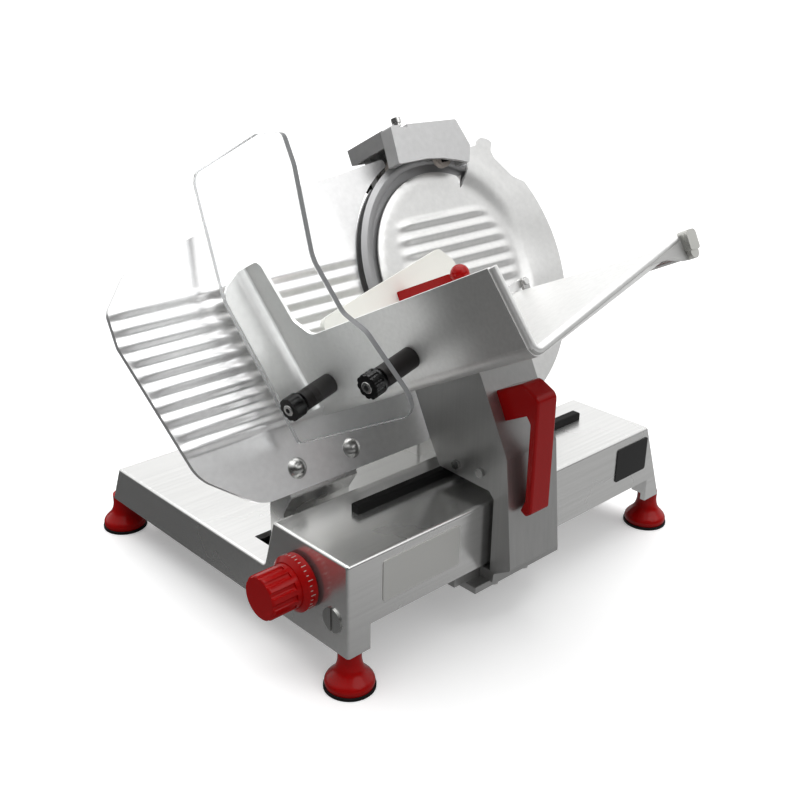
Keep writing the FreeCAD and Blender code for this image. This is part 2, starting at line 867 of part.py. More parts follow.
def follower_point():
    """Y and Z of the cam follower's axis at rest."""
    angle = math.radians(LEAN)
    reach = cam_radius(0) + 3.35
    return DIAL_Y + reach * math.cos(angle), DIAL_Z - reach * math.sin(angle)


def rod_direction():
    """Direction of the gauge rod, towards the operator."""
    angle = math.radians(LEAN)
    return V(0, -math.cos(angle), math.sin(angle))


def along_gauge_rod(distance):
    """Point on the gauge rod's axis."""
    return V(-160, -66, 60.5) + rod_direction() * distance


def cam_radius(degrees):
    """Radius of the cam at an angle from where its follower rests."""
    return 15.0 + MM_PER_TURN * degrees / 360.0


def thickness_cam():
    """Spiral cam on the dial's shaft."""
    steps = 64
    points = []
    angle0 = math.radians(-LEAN)
    for i in range(steps + 1):
        degrees = -62 + 324.0 * i / steps
        a = angle0 - math.radians(degrees)
        r = cam_radius(degrees)
        points.append(V(CAM_X, DIAL_Y + r * math.cos(a), DIAL_Z + r * math.sin(a)))
    curve = Part.BSplineCurve()
    curve.interpolate(points)
    closing = Part.makeLine(points[-1], points[0])
    face = Part.Face(Part.Wire([curve.toShape(), closing]))
    disc_body = face.extrude(V(6, 0, 0))
    return disc_body.cut(cyl(V(CAM_X - 5, DIAL_Y, DIAL_Z), V(1, 0, 0), 20, 5))


def dial_shaft():
    """Shaft from the dial to the cam."""
    return cyl(V(-262, DIAL_Y, DIAL_Z), V(1, 0, 0), 262 + CAM_X + 8, 5)


def dial_knob():
    """Fluted dial with a flange that carries the numbers."""
    x0 = BASE_LEFT - 12
    flange = cyl(V(x0, DIAL_Y, DIAL_Z), V(1, 0, 0), 8.7, 26.5)
    slope = cone(V(x0 - 4, DIAL_Y, DIAL_Z), V(1, 0, 0), 4, 22, 26.5)
    grip = cyl(V(-285, DIAL_Y, DIAL_Z), V(1, 0, 0), 285 + x0, 21)
    grip = rounded(grip, 2.5, lambda m, d: m.x < -284)
    knob = union([flange, slope, grip])
    flutes = []
    for k in range(12):
        a = math.radians(30 * k)
        start = V(-290, DIAL_Y + 23.5 * math.cos(a), DIAL_Z + 23.5 * math.sin(a))
        flutes.append(cyl(start, V(1, 0, 0), 31, 4.2))
    knob = knob.cut(group(flutes))
    return knob.cut(cyl(V(-262, DIAL_Y, DIAL_Z), V(1, 0, 0), 60, 5))


def revolve_blade_section(points):
    """Ring or disc about the blade axis from radius and distance pairs."""
    wire = Part.makePolygon([V(r, -w, 0) for r, w in points + points[:1]])
    solid = Part.Face(wire).revolve(V(0, 0, 0), V(0, 1, 0), 360)
    return lean(move(solid, BLADE_X, 0, BLADE_U))


def blade():
    """Dished circular blade with a ground edge."""
    points = [
        (24, 147), (117, 147), (121.5, 152.2), (BLADE_R, 155.3), (119.5, 158),
        (113, 158), (112.6, 151), (24, 151),
    ]
    body = revolve_blade_section(points)
    for screw in blade_screw_bars():
        body = body.cut(screw)
    return body


def blade_screw_bars():
    """Shanks of the four blade screws."""
    bars = []
    for k in range(4):
        a = math.radians(90 * k + 45)
        x = BLADE_X + 30 * math.cos(a)
        u = BLADE_U + 30 * math.sin(a)
        bars.append(lean(disc(x, u, 141, 151, 2.5)))
    return bars


def blade_screws():
    """Four screws that hold the blade on its hub."""
    screws = []
    for k in range(4):
        a = math.radians(90 * k + 45)
        x = BLADE_X + 30 * math.cos(a)
        u = BLADE_U + 30 * math.sin(a)
        screws.append(lean(disc(x, u, 141, 151, 2.5).fuse(disc(x, u, 151, 152.8, 4.5))))
    return group(screws)


def blade_hub():
    """Hub that carries the blade on the spindle."""
    hub = union([disc(BLADE_X, BLADE_U, 140, 147, 38), disc(BLADE_X, BLADE_U, 147, 151, 23.9)])
    hub = lean(hub)
    for bar in blade_screw_bars():
        hub = hub.cut(bar)
    return hub.cut(lean(disc(BLADE_X, BLADE_U, 60, 160, SPINDLE_R)))


def blade_spindle():
    """Spindle of the blade."""
    return lean(disc(BLADE_X, BLADE_U, 70, 151, SPINDLE_R).cut(disc(BLADE_X, BLADE_U, 60, 160, 4.1)))


def blade_bearings():
    """Two ball bearings of the blade spindle, simplified to rings."""
    rings = []
    for w in (103, 121):
        ring = disc(BLADE_X, BLADE_U, w, w + 12, 21)
        rings.append(lean(ring.cut(disc(BLADE_X, BLADE_U, 60, 160, 10.03))))
    return group(rings)


def blade_pulley():
    """Large pulley on the blade spindle."""
    wheel = disc(BLADE_X, BLADE_U, 80, 96, BLADE_PULLEY_R + 3)
    groove = disc(BLADE_X, BLADE_U, 82, 94, 60).cut(disc(BLADE_X, BLADE_U, 82, 94, BLADE_PULLEY_R))
    return lean(wheel.cut(groove).cut(disc(BLADE_X, BLADE_U, 60, 160, SPINDLE_R)))


def motor_pulley():
    """Small pulley on the motor shaft."""
    wheel = disc(MOTOR_X, MOTOR_U, 80, 96, MOTOR_PULLEY_R + 3)
    groove = disc(MOTOR_X, MOTOR_U, 82, 94, 60).cut(disc(MOTOR_X, MOTOR_U, 82, 94, MOTOR_PULLEY_R))
    return lean(wheel.cut(groove).cut(disc(MOTOR_X, MOTOR_U, 40, 160, 6)))


def belt_hull(w0, w1, r0, r1):
    """Filled outline round both pulleys."""
    dx = MOTOR_X - BLADE_X
    du = MOTOR_U - BLADE_U
    distance = math.hypot(dx, du)
    heading = math.atan2(du, dx)
    spread = math.acos((r0 - r1) / distance)
    corners = []
    for side in (1, -1):
        a = heading + side * spread
        corners.append((BLADE_X + r0 * math.cos(a), BLADE_U + r0 * math.sin(a)))
        corners.append((MOTOR_X + r1 * math.cos(a), MOTOR_U + r1 * math.sin(a)))
    web = slab([corners[0], corners[1], corners[3], corners[2]], w0, w1)
    return union([disc(BLADE_X, BLADE_U, w0, w1, r0), disc(MOTOR_X, MOTOR_U, w0, w1, r1), web])


def drive_belt():
    """Flat belt round both pulleys."""
    big = BLADE_PULLEY_R + 0.4
    small = MOTOR_PULLEY_R + 0.4
    outer = belt_hull(83, 93, big + BELT_T, small + BELT_T)
    inner = belt_hull(82, 94, big, small)
    return lean(outer.cut(inner))


def motor_body():
    """Motor can with end caps."""
    can = disc(MOTOR_X, MOTOR_U, -8, 68, 40)
    caps = [disc(MOTOR_X, MOTOR_U, 68, 76, 36), disc(MOTOR_X, MOTOR_U, -14, -8, 36)]
    whole = union([can] + caps)
    return lean(whole.cut(disc(MOTOR_X, MOTOR_U, -30, 90, 6.04)))


def motor_shaft():
    """Motor shaft."""
    return lean(disc(MOTOR_X, MOTOR_U, -20, 96, 6))


def housing_profile(inset):
    """Side outline of the motor housing in Y and Z."""
    front_top = leaning_point(0, 118 - inset, 206)
    head_top = leaning_point(0, 118 - inset, 300 - inset)
    return [
        (-19 + inset, PLATFORM_TOP - (20 if inset else 0)),
        (-19 + inset, front_top.z - 26),
        (head_top.y, head_top.z, 14 - inset),
        (head_top.y + 52 - inset, head_top.z - 27, 24 - inset),
        (142 - inset, 196 - inset, 30 - inset),
        (142 - inset, PLATFORM_TOP - (20 if inset else 0)),
    ]


def housing_outer():
    """Full outside of the motor housing, filled."""
    outer = prism_x(housing_profile(0), 29, 206)
    return rounded(outer, 5.0, lambda m, d: abs(d.x) < 0.5 and m.z > PLATFORM_TOP + 2)


def motor_housing():
    """Hollow housing behind the blade, with the bearing head and the knob's recess."""
    outer = housing_outer()
    inner = prism_x(housing_profile(6), 35, 200)
    shell = outer.cut(inner)
    head = lean(disc(BLADE_X, BLADE_U, 100, 136, 44))
    cup = lean(disc(BLADE_X, BLADE_U, -60, -8, 24)).common(outer)
    shell = union([shell, head, cup])
    shell = shell.cut(lean(disc(BLADE_X, BLADE_U, -80, -13, 20)))
    shell = shell.cut(lean(disc(BLADE_X, BLADE_U, 103, 140, 21)))
    shell = shell.cut(lean(disc(BLADE_X, BLADE_U, 98, 104, 15)))
    shell = shell.cut(lean(disc(BLADE_X, BLADE_U, -60, 60, 4)))
    vents = []
    for i in range(8):
        vents.append(box(60 + i * 14, 66 + i * 14, 130, 150, 110, 150))
    return shell.cut(group(vents))


def cover_tie_rod():
    """Long rod that pulls the blade cover back through the hollow spindle."""
    return lean(disc(BLADE_X, BLADE_U, -30, 153.8, 3.7))


def cover_knob():
    """Knob on the back end of the cover's tie rod."""
    knob = disc(BLADE_X, BLADE_U, -40, -16, 17)
    flutes = []
    for k in range(8):
        a = math.radians(45 * k)
        x = BLADE_X + 19.5 * math.cos(a)
        u = BLADE_U + 19.5 * math.sin(a)
        flutes.append(disc(x, u, -41, -15, 5))
    knob = knob.cut(group(flutes))
    return lean(knob.cut(disc(BLADE_X, BLADE_U, -30, 0, 3.75)))


def ring_guard():
    """Fixed ring round the right half of the blade."""
    ring = disc(BLADE_X + 1, BLADE_U - 6, 136, 146, BAND_R - 3)
    ring = ring.cut(disc(BLADE_X, BLADE_U, 142, 160, BLADE_R + 3)).common(slab(BAND_EDGE, 130, 160))
    web = disc(BLADE_X, BLADE_U, 136, 141, 60)
    whole = union([ring, web])
    return lean(whole.cut(disc(BLADE_X, BLADE_U, 130, 160, 41)))


def slice_deflector():
    """Thin plate that keeps slices off the back of the blade."""
    plate = disc(BLADE_X, BLADE_U, 141, 143, 122)
    left = slab([(-60, 140), (-60, 350), (70, 350), (70, 140)], 130, 160)
    plate = plate.common(left)
    return lean(plate.cut(disc(BLADE_X, BLADE_U, 130, 160, 43)))


def blade_cover():
    """Ribbed cover of the blade, widening to a band with an ear on the right."""
    plate = disc(BLADE_X, BLADE_U, 153.8, 157, COVER_R)
    right = slab([(118, 60), (118, 400), (300, 400), (300, 60)], 140, 170)
    hole = disc(BLADE_X, BLADE_U, 140, 170, 108)
    round_area = disc(BLADE_X + 1, BLADE_U - 6, 140, 170, BAND_R)
    ear_area = slab([(150, 350), (150, 400), (200, 400), (200, 350)], 140, 170)
    band = slab(BAND_EDGE, 159.2, 161.7).common(union([round_area, ear_area])).cut(hole)
    skirt = disc(BLADE_X + 1, BLADE_U - 6, 146, 160, BAND_R)
    skirt = skirt.cut(disc(BLADE_X + 1, BLADE_U - 6, 140, 170, BAND_R - 4))
    skirt = skirt.common(slab([(118, 60), (118, 240), (200, 326), (300, 326), (300, 60)], 140, 170))
    slope = cone(V(BLADE_X, -160.7, BLADE_U), V(0, 1, 0), 6.9, 112.4, 101)
    slope = slope.cut(cone(V(BLADE_X, -160.71, BLADE_U), V(0, 1, 0), 7, 108.4, 97))
    slope = slope.common(right)
    ribs = []
    limit = disc(BLADE_X, BLADE_U - 6, 154, 170, 88)
    for u in COVER_RIBS:
        bar = cyl(V(-60, -153.6, u), V(1, 0, 0), 300, 5)
        ribs.append(bar.common(limit))
    slit = slab([(114.3, 331.7), (118, 334), (134, 356), (138, 364), (126, 364), (121, 348)], 150, 170)
    whole = union([plate, slope, band, skirt] + ribs).cut(slit)
    return lean(whole)


def sharpener_outline():
    """Front outline of the sharpener's hood in X and u."""
    return [
        (21, 403, 2), (115, 401, 3), (125, 371, 3), (116, 353, 2),
        (102, 357, 20), (80, 362, 40), (57, 364, 20), (17, 363, 2),
    ]


def sharpener_body():
    """Hood that bridges the top of the blade."""
    front = slab(sharpener_outline(), 162.8, 180)
    bridge = box(21, 115, -166, -104, 386, 403)
    hood = union([front, bridge])
    hood = hood.cut(box(25, 111, -176, -108, 340, 399))
    hood = hood.cut(disc(92, 392.5, 100, 110, 4.3))
    notch = disc(38, 403, 166, 182, 6)
    hood = hood.cut(notch)
    boss = slab([(23, 401), (50, 401), (50, 391), (23, 391)], 167, 178)
    hood = union([hood, boss])
    hood = hood.cut(cyl(V(39, -171, 380), V(0, 0, 1), 40, 2.1))
    return lean(hood)


def sharpener_post():
    """Bracket from the housing's head to the sharpener."""
    post = slab([(36, 292), (36, 398), (108, 398), (108, 292)], 108, 118)
    post = post.cut(disc(BLADE_X, BLADE_U, 90, 140, 46))
    post = post.cut(disc(52, 366, 100, 120, 4.3))
    post = post.cut(disc(92, 392.5, 100, 130, 6))
    return lean(post).cut(housing_outer())


def sharpen_stone():
    """Grinding stone behind the blade's edge."""
    cup = disc(52, 366, 133, 143, 14)
    return lean(cup.cut(disc(52, 366, 138, 150, 9)))


def sharpen_spindle():
    """Spindle of the grinding stone."""
    return lean(disc(52, 366, 94, 133, 4))


def sharpen_button():
    """Push button of the grinding stone."""
    return lean(disc(52, 366, 84, 94, 9))


def deburr_stone():
    """Finishing stone before the blade's edge."""
    cup = disc(92, 366, 162.3, 168, 11)
    return lean(cup.cut(disc(92, 366, 160, 165, 6.5)))


def deburr_rod():
    """Rod and arm of the finishing stone."""
    rod = disc(92, 392.5, 92, 172, 4)
    drop = slab([(88, 360), (88, 396), (96, 396), (96, 360)], 168, 172, 1)
    return lean(union([rod, drop]))


def deburr_knob():
    """Pull knob of the finishing stone."""
    return lean(disc(92, 392.5, 80, 92, 9))


def sharpener_lock():
    """Small bright lock knob on top of the sharpener."""
    stem = cyl(V(39, -171, 391.2), V(0, 0, 1), 16, 1.8)
    collar = cyl(V(39, -171, 403.4), V(0, 0, 1), 3.4, 3.6)
    head = cyl(V(39, -171, 406.8), V(0, 0, 1), 5.5, 5.2)
    return lean(union([stem, collar, head]))


def on_end(shape):
    """Lay a shape with its back at X = 0 on the base's drafted right end."""
    tilted = turn(shape, V(0, 0, 0), V(0, 1, 0), -END_SLOPE)
    z = 96.0
    x = 228.0 - 36.0 / 93.0 * (z - BASE_RIM)
    return move(tilted, x, -150, z)


def switch_holes():
    """Room for the two buttons through plate and wall."""
    holes = []
    for y in (-14, 14):
        holes.append(cyl(V(-12, y, 0), V(1, 0, 0), 20, 9.4))
    return on_end(group(holes))


def switch_plate():
    """Plate round the two buttons."""
    plate = box(0, 2, -32, 32, -17, 17)
    plate = rounded(plate, 4, lambda m, d: abs(d.x) > 0.9)
    return on_end(plate).cut(switch_holes())


def start_button():
    """Green start button."""
    return on_end(cyl(V(-8, 14, 0), V(1, 0, 0), 14, 9))


def stop_button():
    """Red stop button with a wide head."""
    stem = cyl(V(-8, -14, 0), V(1, 0, 0), 13, 9)
    head = cyl(V(5, -14, 0), V(1, 0, 0), 5, 11)
    return on_end(union([stem, head]))


def cord_gland():
    """Cable gland on the back of the base, its cable left out."""
    angle = math.degrees(math.atan2(18, 42))
    flange = cyl(V(0, 0, 0), V(0, 1, 0), 3, 12)
    nose = cone(V(0, 3, 0), V(0, 1, 0), 16, 9, 6)
    gland = union([flange, nose]).cut(cyl(V(0, -5, 0), V(0, 1, 0), 40, 3.5))
    gland = turn(gland, V(0, 0, 0), V(1, 0, 0), angle)
    return move(gland, 150, 183.5, 60)


def data_plate():
    """Bare plate on the front of the base."""
    plate = box(-198, -103, BASE_FRONT - 0.8, BASE_FRONT, 82, 123)
    return rounded(plate, 3, lambda m, d: abs(d.y) > 0.9)


def front_plate():
    """Plain black plate on the front of the base."""
    plate = box(137, 191, BASE_FRONT - 1, BASE_FRONT, 84, 122)
    return rounded(plate, 3, lambda m, d: abs(d.y) > 0.9)


def export_all():
    """Build and write every node."""
    os.makedirs("parts", exist_ok=True)
    base = base_casting().cut(switch_holes())
    save("base_casting", base)
    save("bottom_cover", bottom_cover())
    save("bottom_cover_screws", bottom_cover_screws())
    save("feet", feet())
    save("foot_pads", foot_pads())
    save("rail_strip", rail_strip())
    save("guide_rod", guide_rod())
    save("rod_end_plugs", rod_end_plugs())
    save("data_plate", data_plate())
    save("front_plate", front_plate())
    save("switch_plate", switch_plate())
    save("start_button", start_button())
    save("stop_button", stop_button())
    save("cord_gland", cord_gland())
    save("slide_block", slide_block())
    save("slide_bushes", slide_bushes())
    save("carriage_arm", carriage_arm())
    save("carriage_roller", carriage_roller())
    save("roller_pin", roller_pin())
    save("arm_bolts", arm_bolts())
    save("tray_bolts", tray_bolts())
    save("carriage_handle", carriage_handle())
    save("product_tray", product_tray())
    save("guard_standoffs", guard_standoffs())
    save("guard_studs", guard_studs())
    save("hand_guard", hand_guard())
    save("guard_knob_near", guard_knob(203))
    save("guard_knob_far", guard_knob(318))
    save("pusher_rod", pusher_rod())
    save("pusher_rod_end", pusher_rod_end())
    save("pusher_sleeve", pusher_sleeve())
    save("pusher_arm", pusher_arm())
    save("pusher_plate", pusher_plate())
    save("pusher_handle", pusher_handle())
    save("dial_knob", dial_knob())
    save("dial_cam", union([dial_shaft(), thickness_cam()]))
    save("gauge_rod", gauge_rod_solid())
    save("gauge_plate", gauge_plate())
    save("gauge_screws", gauge_screws())
    save("gauge_carrier", gauge_carrier())
    save("motor_housing", motor_housing())
    save("motor_body", motor_body())
    save("motor_drive", union([motor_shaft(), motor_pulley()]))
    save("drive_belt", drive_belt())
    save("blade", blade())
    save("blade_screws", blade_screws())
    save("blade_hub", union([blade_hub(), blade_spindle(), blade_pulley()]))
    save("blade_bearings", blade_bearings())
    save("ring_guard", ring_guard())
    save("slice_deflector", slice_deflector())
    save("blade_cover", blade_cover())
    save("cover_tie_rod", cover_tie_rod())
    save("cover_knob", cover_knob())
    save("sharpener_body", sharpener_body())
    save("sharpener_post", sharpener_post())
    save("sharpener_lock", sharpener_lock())
    save("sharpen_stone", sharpen_stone())
    save("sharpen_button", union([sharpen_button(), sharpen_spindle()]))
    save("deburr_stone", deburr_stone())
    save("deburr_knob", union([deburr_knob(), deburr_rod()]))


if __name__ == "__main__":
    export_all()
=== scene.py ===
"""Looks of a gravity-feed food slicer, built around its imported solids."""

import json
import logging
import math
from dataclasses import dataclass
from enum import Enum
from typing import Callable, Iterable, Optional, Sequence

import bmesh
import bpy
from mathutils import Matrix, Vector


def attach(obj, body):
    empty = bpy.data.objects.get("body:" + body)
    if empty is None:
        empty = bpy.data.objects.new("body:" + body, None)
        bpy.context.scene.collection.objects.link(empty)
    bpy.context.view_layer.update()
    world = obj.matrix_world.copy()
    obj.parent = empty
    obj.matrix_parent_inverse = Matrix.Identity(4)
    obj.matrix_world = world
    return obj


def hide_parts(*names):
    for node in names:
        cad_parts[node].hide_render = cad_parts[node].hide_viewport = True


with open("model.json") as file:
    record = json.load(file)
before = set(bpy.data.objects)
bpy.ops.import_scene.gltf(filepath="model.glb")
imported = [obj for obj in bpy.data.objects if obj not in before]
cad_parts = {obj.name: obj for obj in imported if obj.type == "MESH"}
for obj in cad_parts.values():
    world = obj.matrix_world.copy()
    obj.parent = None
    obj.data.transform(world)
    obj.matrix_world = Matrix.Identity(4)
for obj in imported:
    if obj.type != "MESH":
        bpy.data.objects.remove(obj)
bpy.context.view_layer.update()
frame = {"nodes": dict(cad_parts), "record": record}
LOG = logging.getLogger("slicer")

RECORD = frame["record"]
BODY_OF = {node: body for body, nodes in RECORD["behaviour"]["bodies"].items() for node in nodes}

# Sizes are in millimetres. The blade's plane leans back from upright, and the tray is tilted within it.
MM = 0.001
FEET_CENTRE = Vector((225.0, 193.8, 0.0))
LEAN = math.radians(27.5)
TRAY_TILT = math.radians(13.0)
TRAY_X = -156.0
TRAY_U = 147.0
BLADE_X = 74.0
BLADE_U = 251.0

WELD_DISTANCE = 2e-6
SHARP_ANGLE = math.radians(32)
SOFTENED_ANGLE = math.radians(38)
FACE_SIZE_WEIGHT = 100

Place = Callable[[float, float, float], Vector]
Point = Sequence[float]
Span = tuple[float, float]


# ---------------------------------------------------------------- places


def row(x: float, y: float, z: float) -> Vector:
    """Place in the part's frame of millimetres about the centre of the feet."""
    return (Vector((x, y, z)) + FEET_CENTRE) * MM


def leaning(x: float, w: float, u: float) -> Vector:
    """Place of leaning coordinates.

    Args:
        x: Distance across, from the centre of the feet.
        w: Distance out of the blade's plane, towards the operator.
        u: Distance up along the blade's plane.

    Returns:
        The place in metres.
    """
    y = -w * math.cos(LEAN) + u * math.sin(LEAN)
    z = w * math.sin(LEAN) + u * math.cos(LEAN)
    return row(x, y, z)


def tray_place(a: float, w: float, c: float) -> Vector:
    """Place of tray coordinates, from the corner between its floor and its wall.

    Args:
        a: Distance along the floor.
        w: Distance out of the blade's plane.
        c: Distance up the wall.

    Returns:
        The place in metres.
    """
    x = TRAY_X + a * math.cos(TRAY_TILT) - c * math.sin(TRAY_TILT)
    u = TRAY_U + a * math.sin(TRAY_TILT) + c * math.cos(TRAY_TILT)
    return leaning(x, w, u)


def smooth_step(low: float, high: float, value: float) -> float:
    """Zero below low, one above high, with a soft rise between."""
    t = min(1.0, max(0.0, (value - low) / (high - low)))
    return t * t * (3.0 - 2.0 * t)


# ---------------------------------------------------------------- finishes


class Brush(Enum):
    """Direction of the fine brushing on metal, as a stretch of its grain."""

    ALONG = (4.0, 300.0, 300.0)
    ACROSS = (300.0, 4.0, 300.0)
    UPRIGHT = (300.0, 300.0, 4.0)
    EVEN = (160.0, 160.0, 160.0)


def shader_group(name: str, inputs: Iterable[tuple], outputs: Iterable[tuple]) -> bpy.types.NodeTree:
    """Empty shader node group with named sockets.

    Args:
        name: Name of the group.
        inputs: Name, socket kind and start value of each input.
        outputs: Name and socket kind of each output.

    Returns:
        The group, with its input and output nodes.
    """
    group = bpy.data.node_groups.new(name, "ShaderNodeTree")
    for label, kind, start in inputs:
        socket = group.interface.new_socket(label, in_out="INPUT", socket_type=kind)
        socket.default_value = start
    for label, kind in outputs:
        group.interface.new_socket(label, in_out="OUTPUT", socket_type=kind)
    group.nodes.new("NodeGroupInput")
    group.nodes.new("NodeGroupOutput")
    return group


class SharedEffects:
    """Node groups that several finishes use."""

    def __init__(self) -> None:
        """Build each group once."""
        self.grain = self._grain()
        self.smudge = self._smudge()

    def _grain(self) -> bpy.types.NodeTree:
        """Fine stretched grain as a mask and a normal."""
        group = shader_group(
            "fine grain",
            [("Stretch", "NodeSocketVector", (1.0, 1.0, 1.0)), ("Depth", "NodeSocketFloat", 0.1)],
            [("Mask", "NodeSocketFloat"), ("Normal", "NodeSocketVector")],
        )
        nodes, links = group.nodes, group.links
        source, sink = nodes["Group Input"], nodes["Group Output"]
        place = nodes.new("ShaderNodeTexCoord")
        stretch = nodes.new("ShaderNodeVectorMath")
        stretch.operation = "MULTIPLY"
        noise = nodes.new("ShaderNodeTexNoise")
        noise.inputs["Scale"].default_value = 1.0
        noise.inputs["Detail"].default_value = 3.0
        bump = nodes.new("ShaderNodeBump")
        bump.inputs["Distance"].default_value = 0.0004
        links.new(place.outputs["Object"], stretch.inputs[0])
        links.new(source.outputs["Stretch"], stretch.inputs[1])
        links.new(stretch.outputs[0], noise.inputs["Vector"])
        links.new(noise.outputs["Fac"], sink.inputs["Mask"])
        links.new(noise.outputs["Fac"], bump.inputs["Height"])
        links.new(source.outputs["Depth"], bump.inputs["Strength"])
        links.new(bump.outputs["Normal"], sink.inputs["Normal"])
        return group

    def _smudge(self) -> bpy.types.NodeTree:
        """Broad soft unevenness as a mask."""
        group = shader_group(
            "soft smudge",
            [
                ("Size", "NodeSocketFloat", 9.0),
                ("Low", "NodeSocketFloat", 0.0),
                ("High", "NodeSocketFloat", 1.0),
            ],
            [("Mask", "NodeSocketFloat")],
        )
        nodes, links = group.nodes, group.links
        source, sink = nodes["Group Input"], nodes["Group Output"]
        place = nodes.new("ShaderNodeTexCoord")
        noise = nodes.new("ShaderNodeTexNoise")
        noise.inputs["Detail"].default_value = 4.0
        spread = nodes.new("ShaderNodeMapRange")
        spread.inputs["From Min"].default_value = 0.3
        spread.inputs["From Max"].default_value = 0.7
        links.new(place.outputs["Object"], noise.inputs["Vector"])
        links.new(source.outputs["Size"], noise.inputs["Scale"])
        links.new(noise.outputs["Fac"], spread.inputs["Value"])
        links.new(source.outputs["Low"], spread.inputs["To Min"])
        links.new(source.outputs["High"], spread.inputs["To Max"])
        links.new(spread.outputs["Result"], sink.inputs["Mask"])
        return group


EFFECTS = SharedEffects()


@dataclass(frozen=True)
class Finish:
    """A surface finish and how it becomes a material."""

    name: str
    colour: tuple[float, float, float]
    metallic: float = 0.0
    roughness: float = 0.4
    uneven: float = 0.0
    brush: Optional[Brush] = None
    depth: float = 0.0
    specular: float = 0.5
    transmission: float = 0.0
    ior: float = 1.5
    grain_dark: float = 0.90
    grain_light: float = 1.08

    def material(self) -> bpy.types.Material:
        """The finish's material, made on first use."""
        made = bpy.data.materials.get(self.name)
        return made if made else self._build()

    def _build(self) -> bpy.types.Material:
        """Make the material's nodes."""
        material = bpy.data.materials.new(self.name)
        material.use_nodes = True
        nodes, links = material.node_tree.nodes, material.node_tree.links
        shader = nodes["Principled BSDF"]
        shader.inputs["Base Color"].default_value = (*self.colour, 1.0)
        shader.inputs["Metallic"].default_value = self.metallic
        shader.inputs["Roughness"].default_value = self.roughness
        shader.inputs["Specular IOR Level"].default_value = self.specular
        shader.inputs["Transmission Weight"].default_value = self.transmission
        shader.inputs["IOR"].default_value = self.ior
        if self.uneven > 0.0:
            smudge = nodes.new("ShaderNodeGroup")
            smudge.node_tree = EFFECTS.smudge
            smudge.inputs["Low"].default_value = self.roughness - self.uneven
            smudge.inputs["High"].default_value = self.roughness + self.uneven
            links.new(smudge.outputs["Mask"], shader.inputs["Roughness"])
        if self.brush is not None:
            grain = nodes.new("ShaderNodeGroup")
            grain.node_tree = EFFECTS.grain
            grain.inputs["Stretch"].default_value = self.brush.value
            grain.inputs["Depth"].default_value = self.depth
            shade = nodes.new("ShaderNodeMix")
            shade.data_type = "RGBA"
            shade.inputs["A"].default_value = (*[c * self.grain_dark for c in self.colour], 1.0)
            shade.inputs["B"].default_value = (*[min(1.0, c * self.grain_light) for c in self.colour], 1.0)
            links.new(grain.outputs["Mask"], shade.inputs["Factor"])
            links.new(shade.outputs["Result"], shader.inputs["Base Color"])
            links.new(grain.outputs["Normal"], shader.inputs["Normal"])
        return material


BASE_METAL = Finish("base metal", (0.73, 0.73, 0.72), 0.88, 0.26, 0.04, Brush.ALONG, 0.05)
# The housing's metal is darker than the base's as painted shade, so that what mirrors it looks shaded.
SHADED_HOUSING_METAL = Finish("housing metal with painted shade", (0.50, 0.50, 0.49), 0.8, 0.36, 0.04, Brush.ALONG, 0.08)
ARM_METAL = Finish("arm metal", (0.40, 0.40, 0.395), 0.85, 0.34, 0.04, Brush.UPRIGHT, 0.08)
TRAY_METAL = Finish("tray metal", (0.86, 0.86, 0.85), 0.8, 0.36, 0.03, Brush.EVEN, 0.02)
# Darker copy of the tray metal as painted shade. It goes on the tray's faces turned away from the operator
# and from above. Its brushing and roughness belong to the wall itself.
SHADED_TRAY_METAL = Finish("brushed tray metal with painted shade", (0.58, 0.58, 0.57), 0.8, 0.50, 0.04, Brush.ALONG, 0.04)
BLOCK_METAL = Finish("block metal", (0.60, 0.60, 0.57), 0.95, 0.26, 0.03)
HOOD_METAL = Finish("hood metal", (0.56, 0.56, 0.56), 0.8, 0.38, 0.03, Brush.EVEN, 0.02)
GAUGE_METAL = Finish("gauge metal", (0.90, 0.90, 0.90), 0.75, 0.30, 0.02, Brush.EVEN, 0.01)
COVER_METAL = Finish("cover metal", (0.75, 0.75, 0.74), 0.72, 0.36, 0.02, Brush.EVEN, 0.01)
BLADE_STEEL = Finish("blade steel", (0.34, 0.34, 0.345), 0.55, 0.42, 0.04)
BRIGHT_STEEL = Finish("bright steel", (0.58, 0.58, 0.57), 1.0, 0.24, 0.04)
DULL_STEEL = Finish("dull steel", (0.50, 0.50, 0.49), 1.0, 0.28, 0.04)
RED_PLASTIC = Finish("red plastic", (0.34, 0.003, 0.003), 0.0, 0.18, 0.03, specular=0.18)
BLACK_PLASTIC = Finish("black plastic", (0.006, 0.006, 0.006), 0.0, 0.24, 0.03, specular=0.22)
BLACK_RUBBER = Finish("black rubber", (0.010, 0.010, 0.010), 0.0, 0.6, 0.05, specular=0.12)
CHARCOAL = Finish("charcoal plastic", (0.014, 0.012, 0.012), 0.0, 0.40, 0.04, specular=0.2)
PUSHER_WHITE = Finish("pusher plastic", (0.80, 0.80, 0.75), 0.0, 0.45, 0.04)
GUARD_CLEAR = Finish("clear acrylic", (0.97, 0.98, 0.98), 0.0, 0.03, transmission=1.0, ior=1.18)
GUARD_EDGE = Finish("acrylic edge", (0.50, 0.51, 0.52), 0.0, 0.25, transmission=0.6, ior=1.3)
PLATE_SILVER = Finish("plain plate", (0.60, 0.60, 0.58), 0.5, 0.40, 0.03)
MARK_WHITE = Finish("mark", (0.45, 0.38, 0.36), 0.0, 0.5, 0.02)
BRONZE = Finish("bronze", (0.55, 0.38, 0.20), 1.0, 0.35, 0.05)
GREEN_PLASTIC = Finish("green plastic", (0.02, 0.26, 0.06), 0.0, 0.25, 0.03)
STONE = Finish("abrasive stone", (0.36, 0.32, 0.29), 0.0, 0.9, brush=Brush.EVEN, depth=0.6)
MOTOR_GREY = Finish("motor paint", (0.20, 0.21, 0.22), 0.0, 0.45, 0.05)


# ---------------------------------------------------------------- making pieces


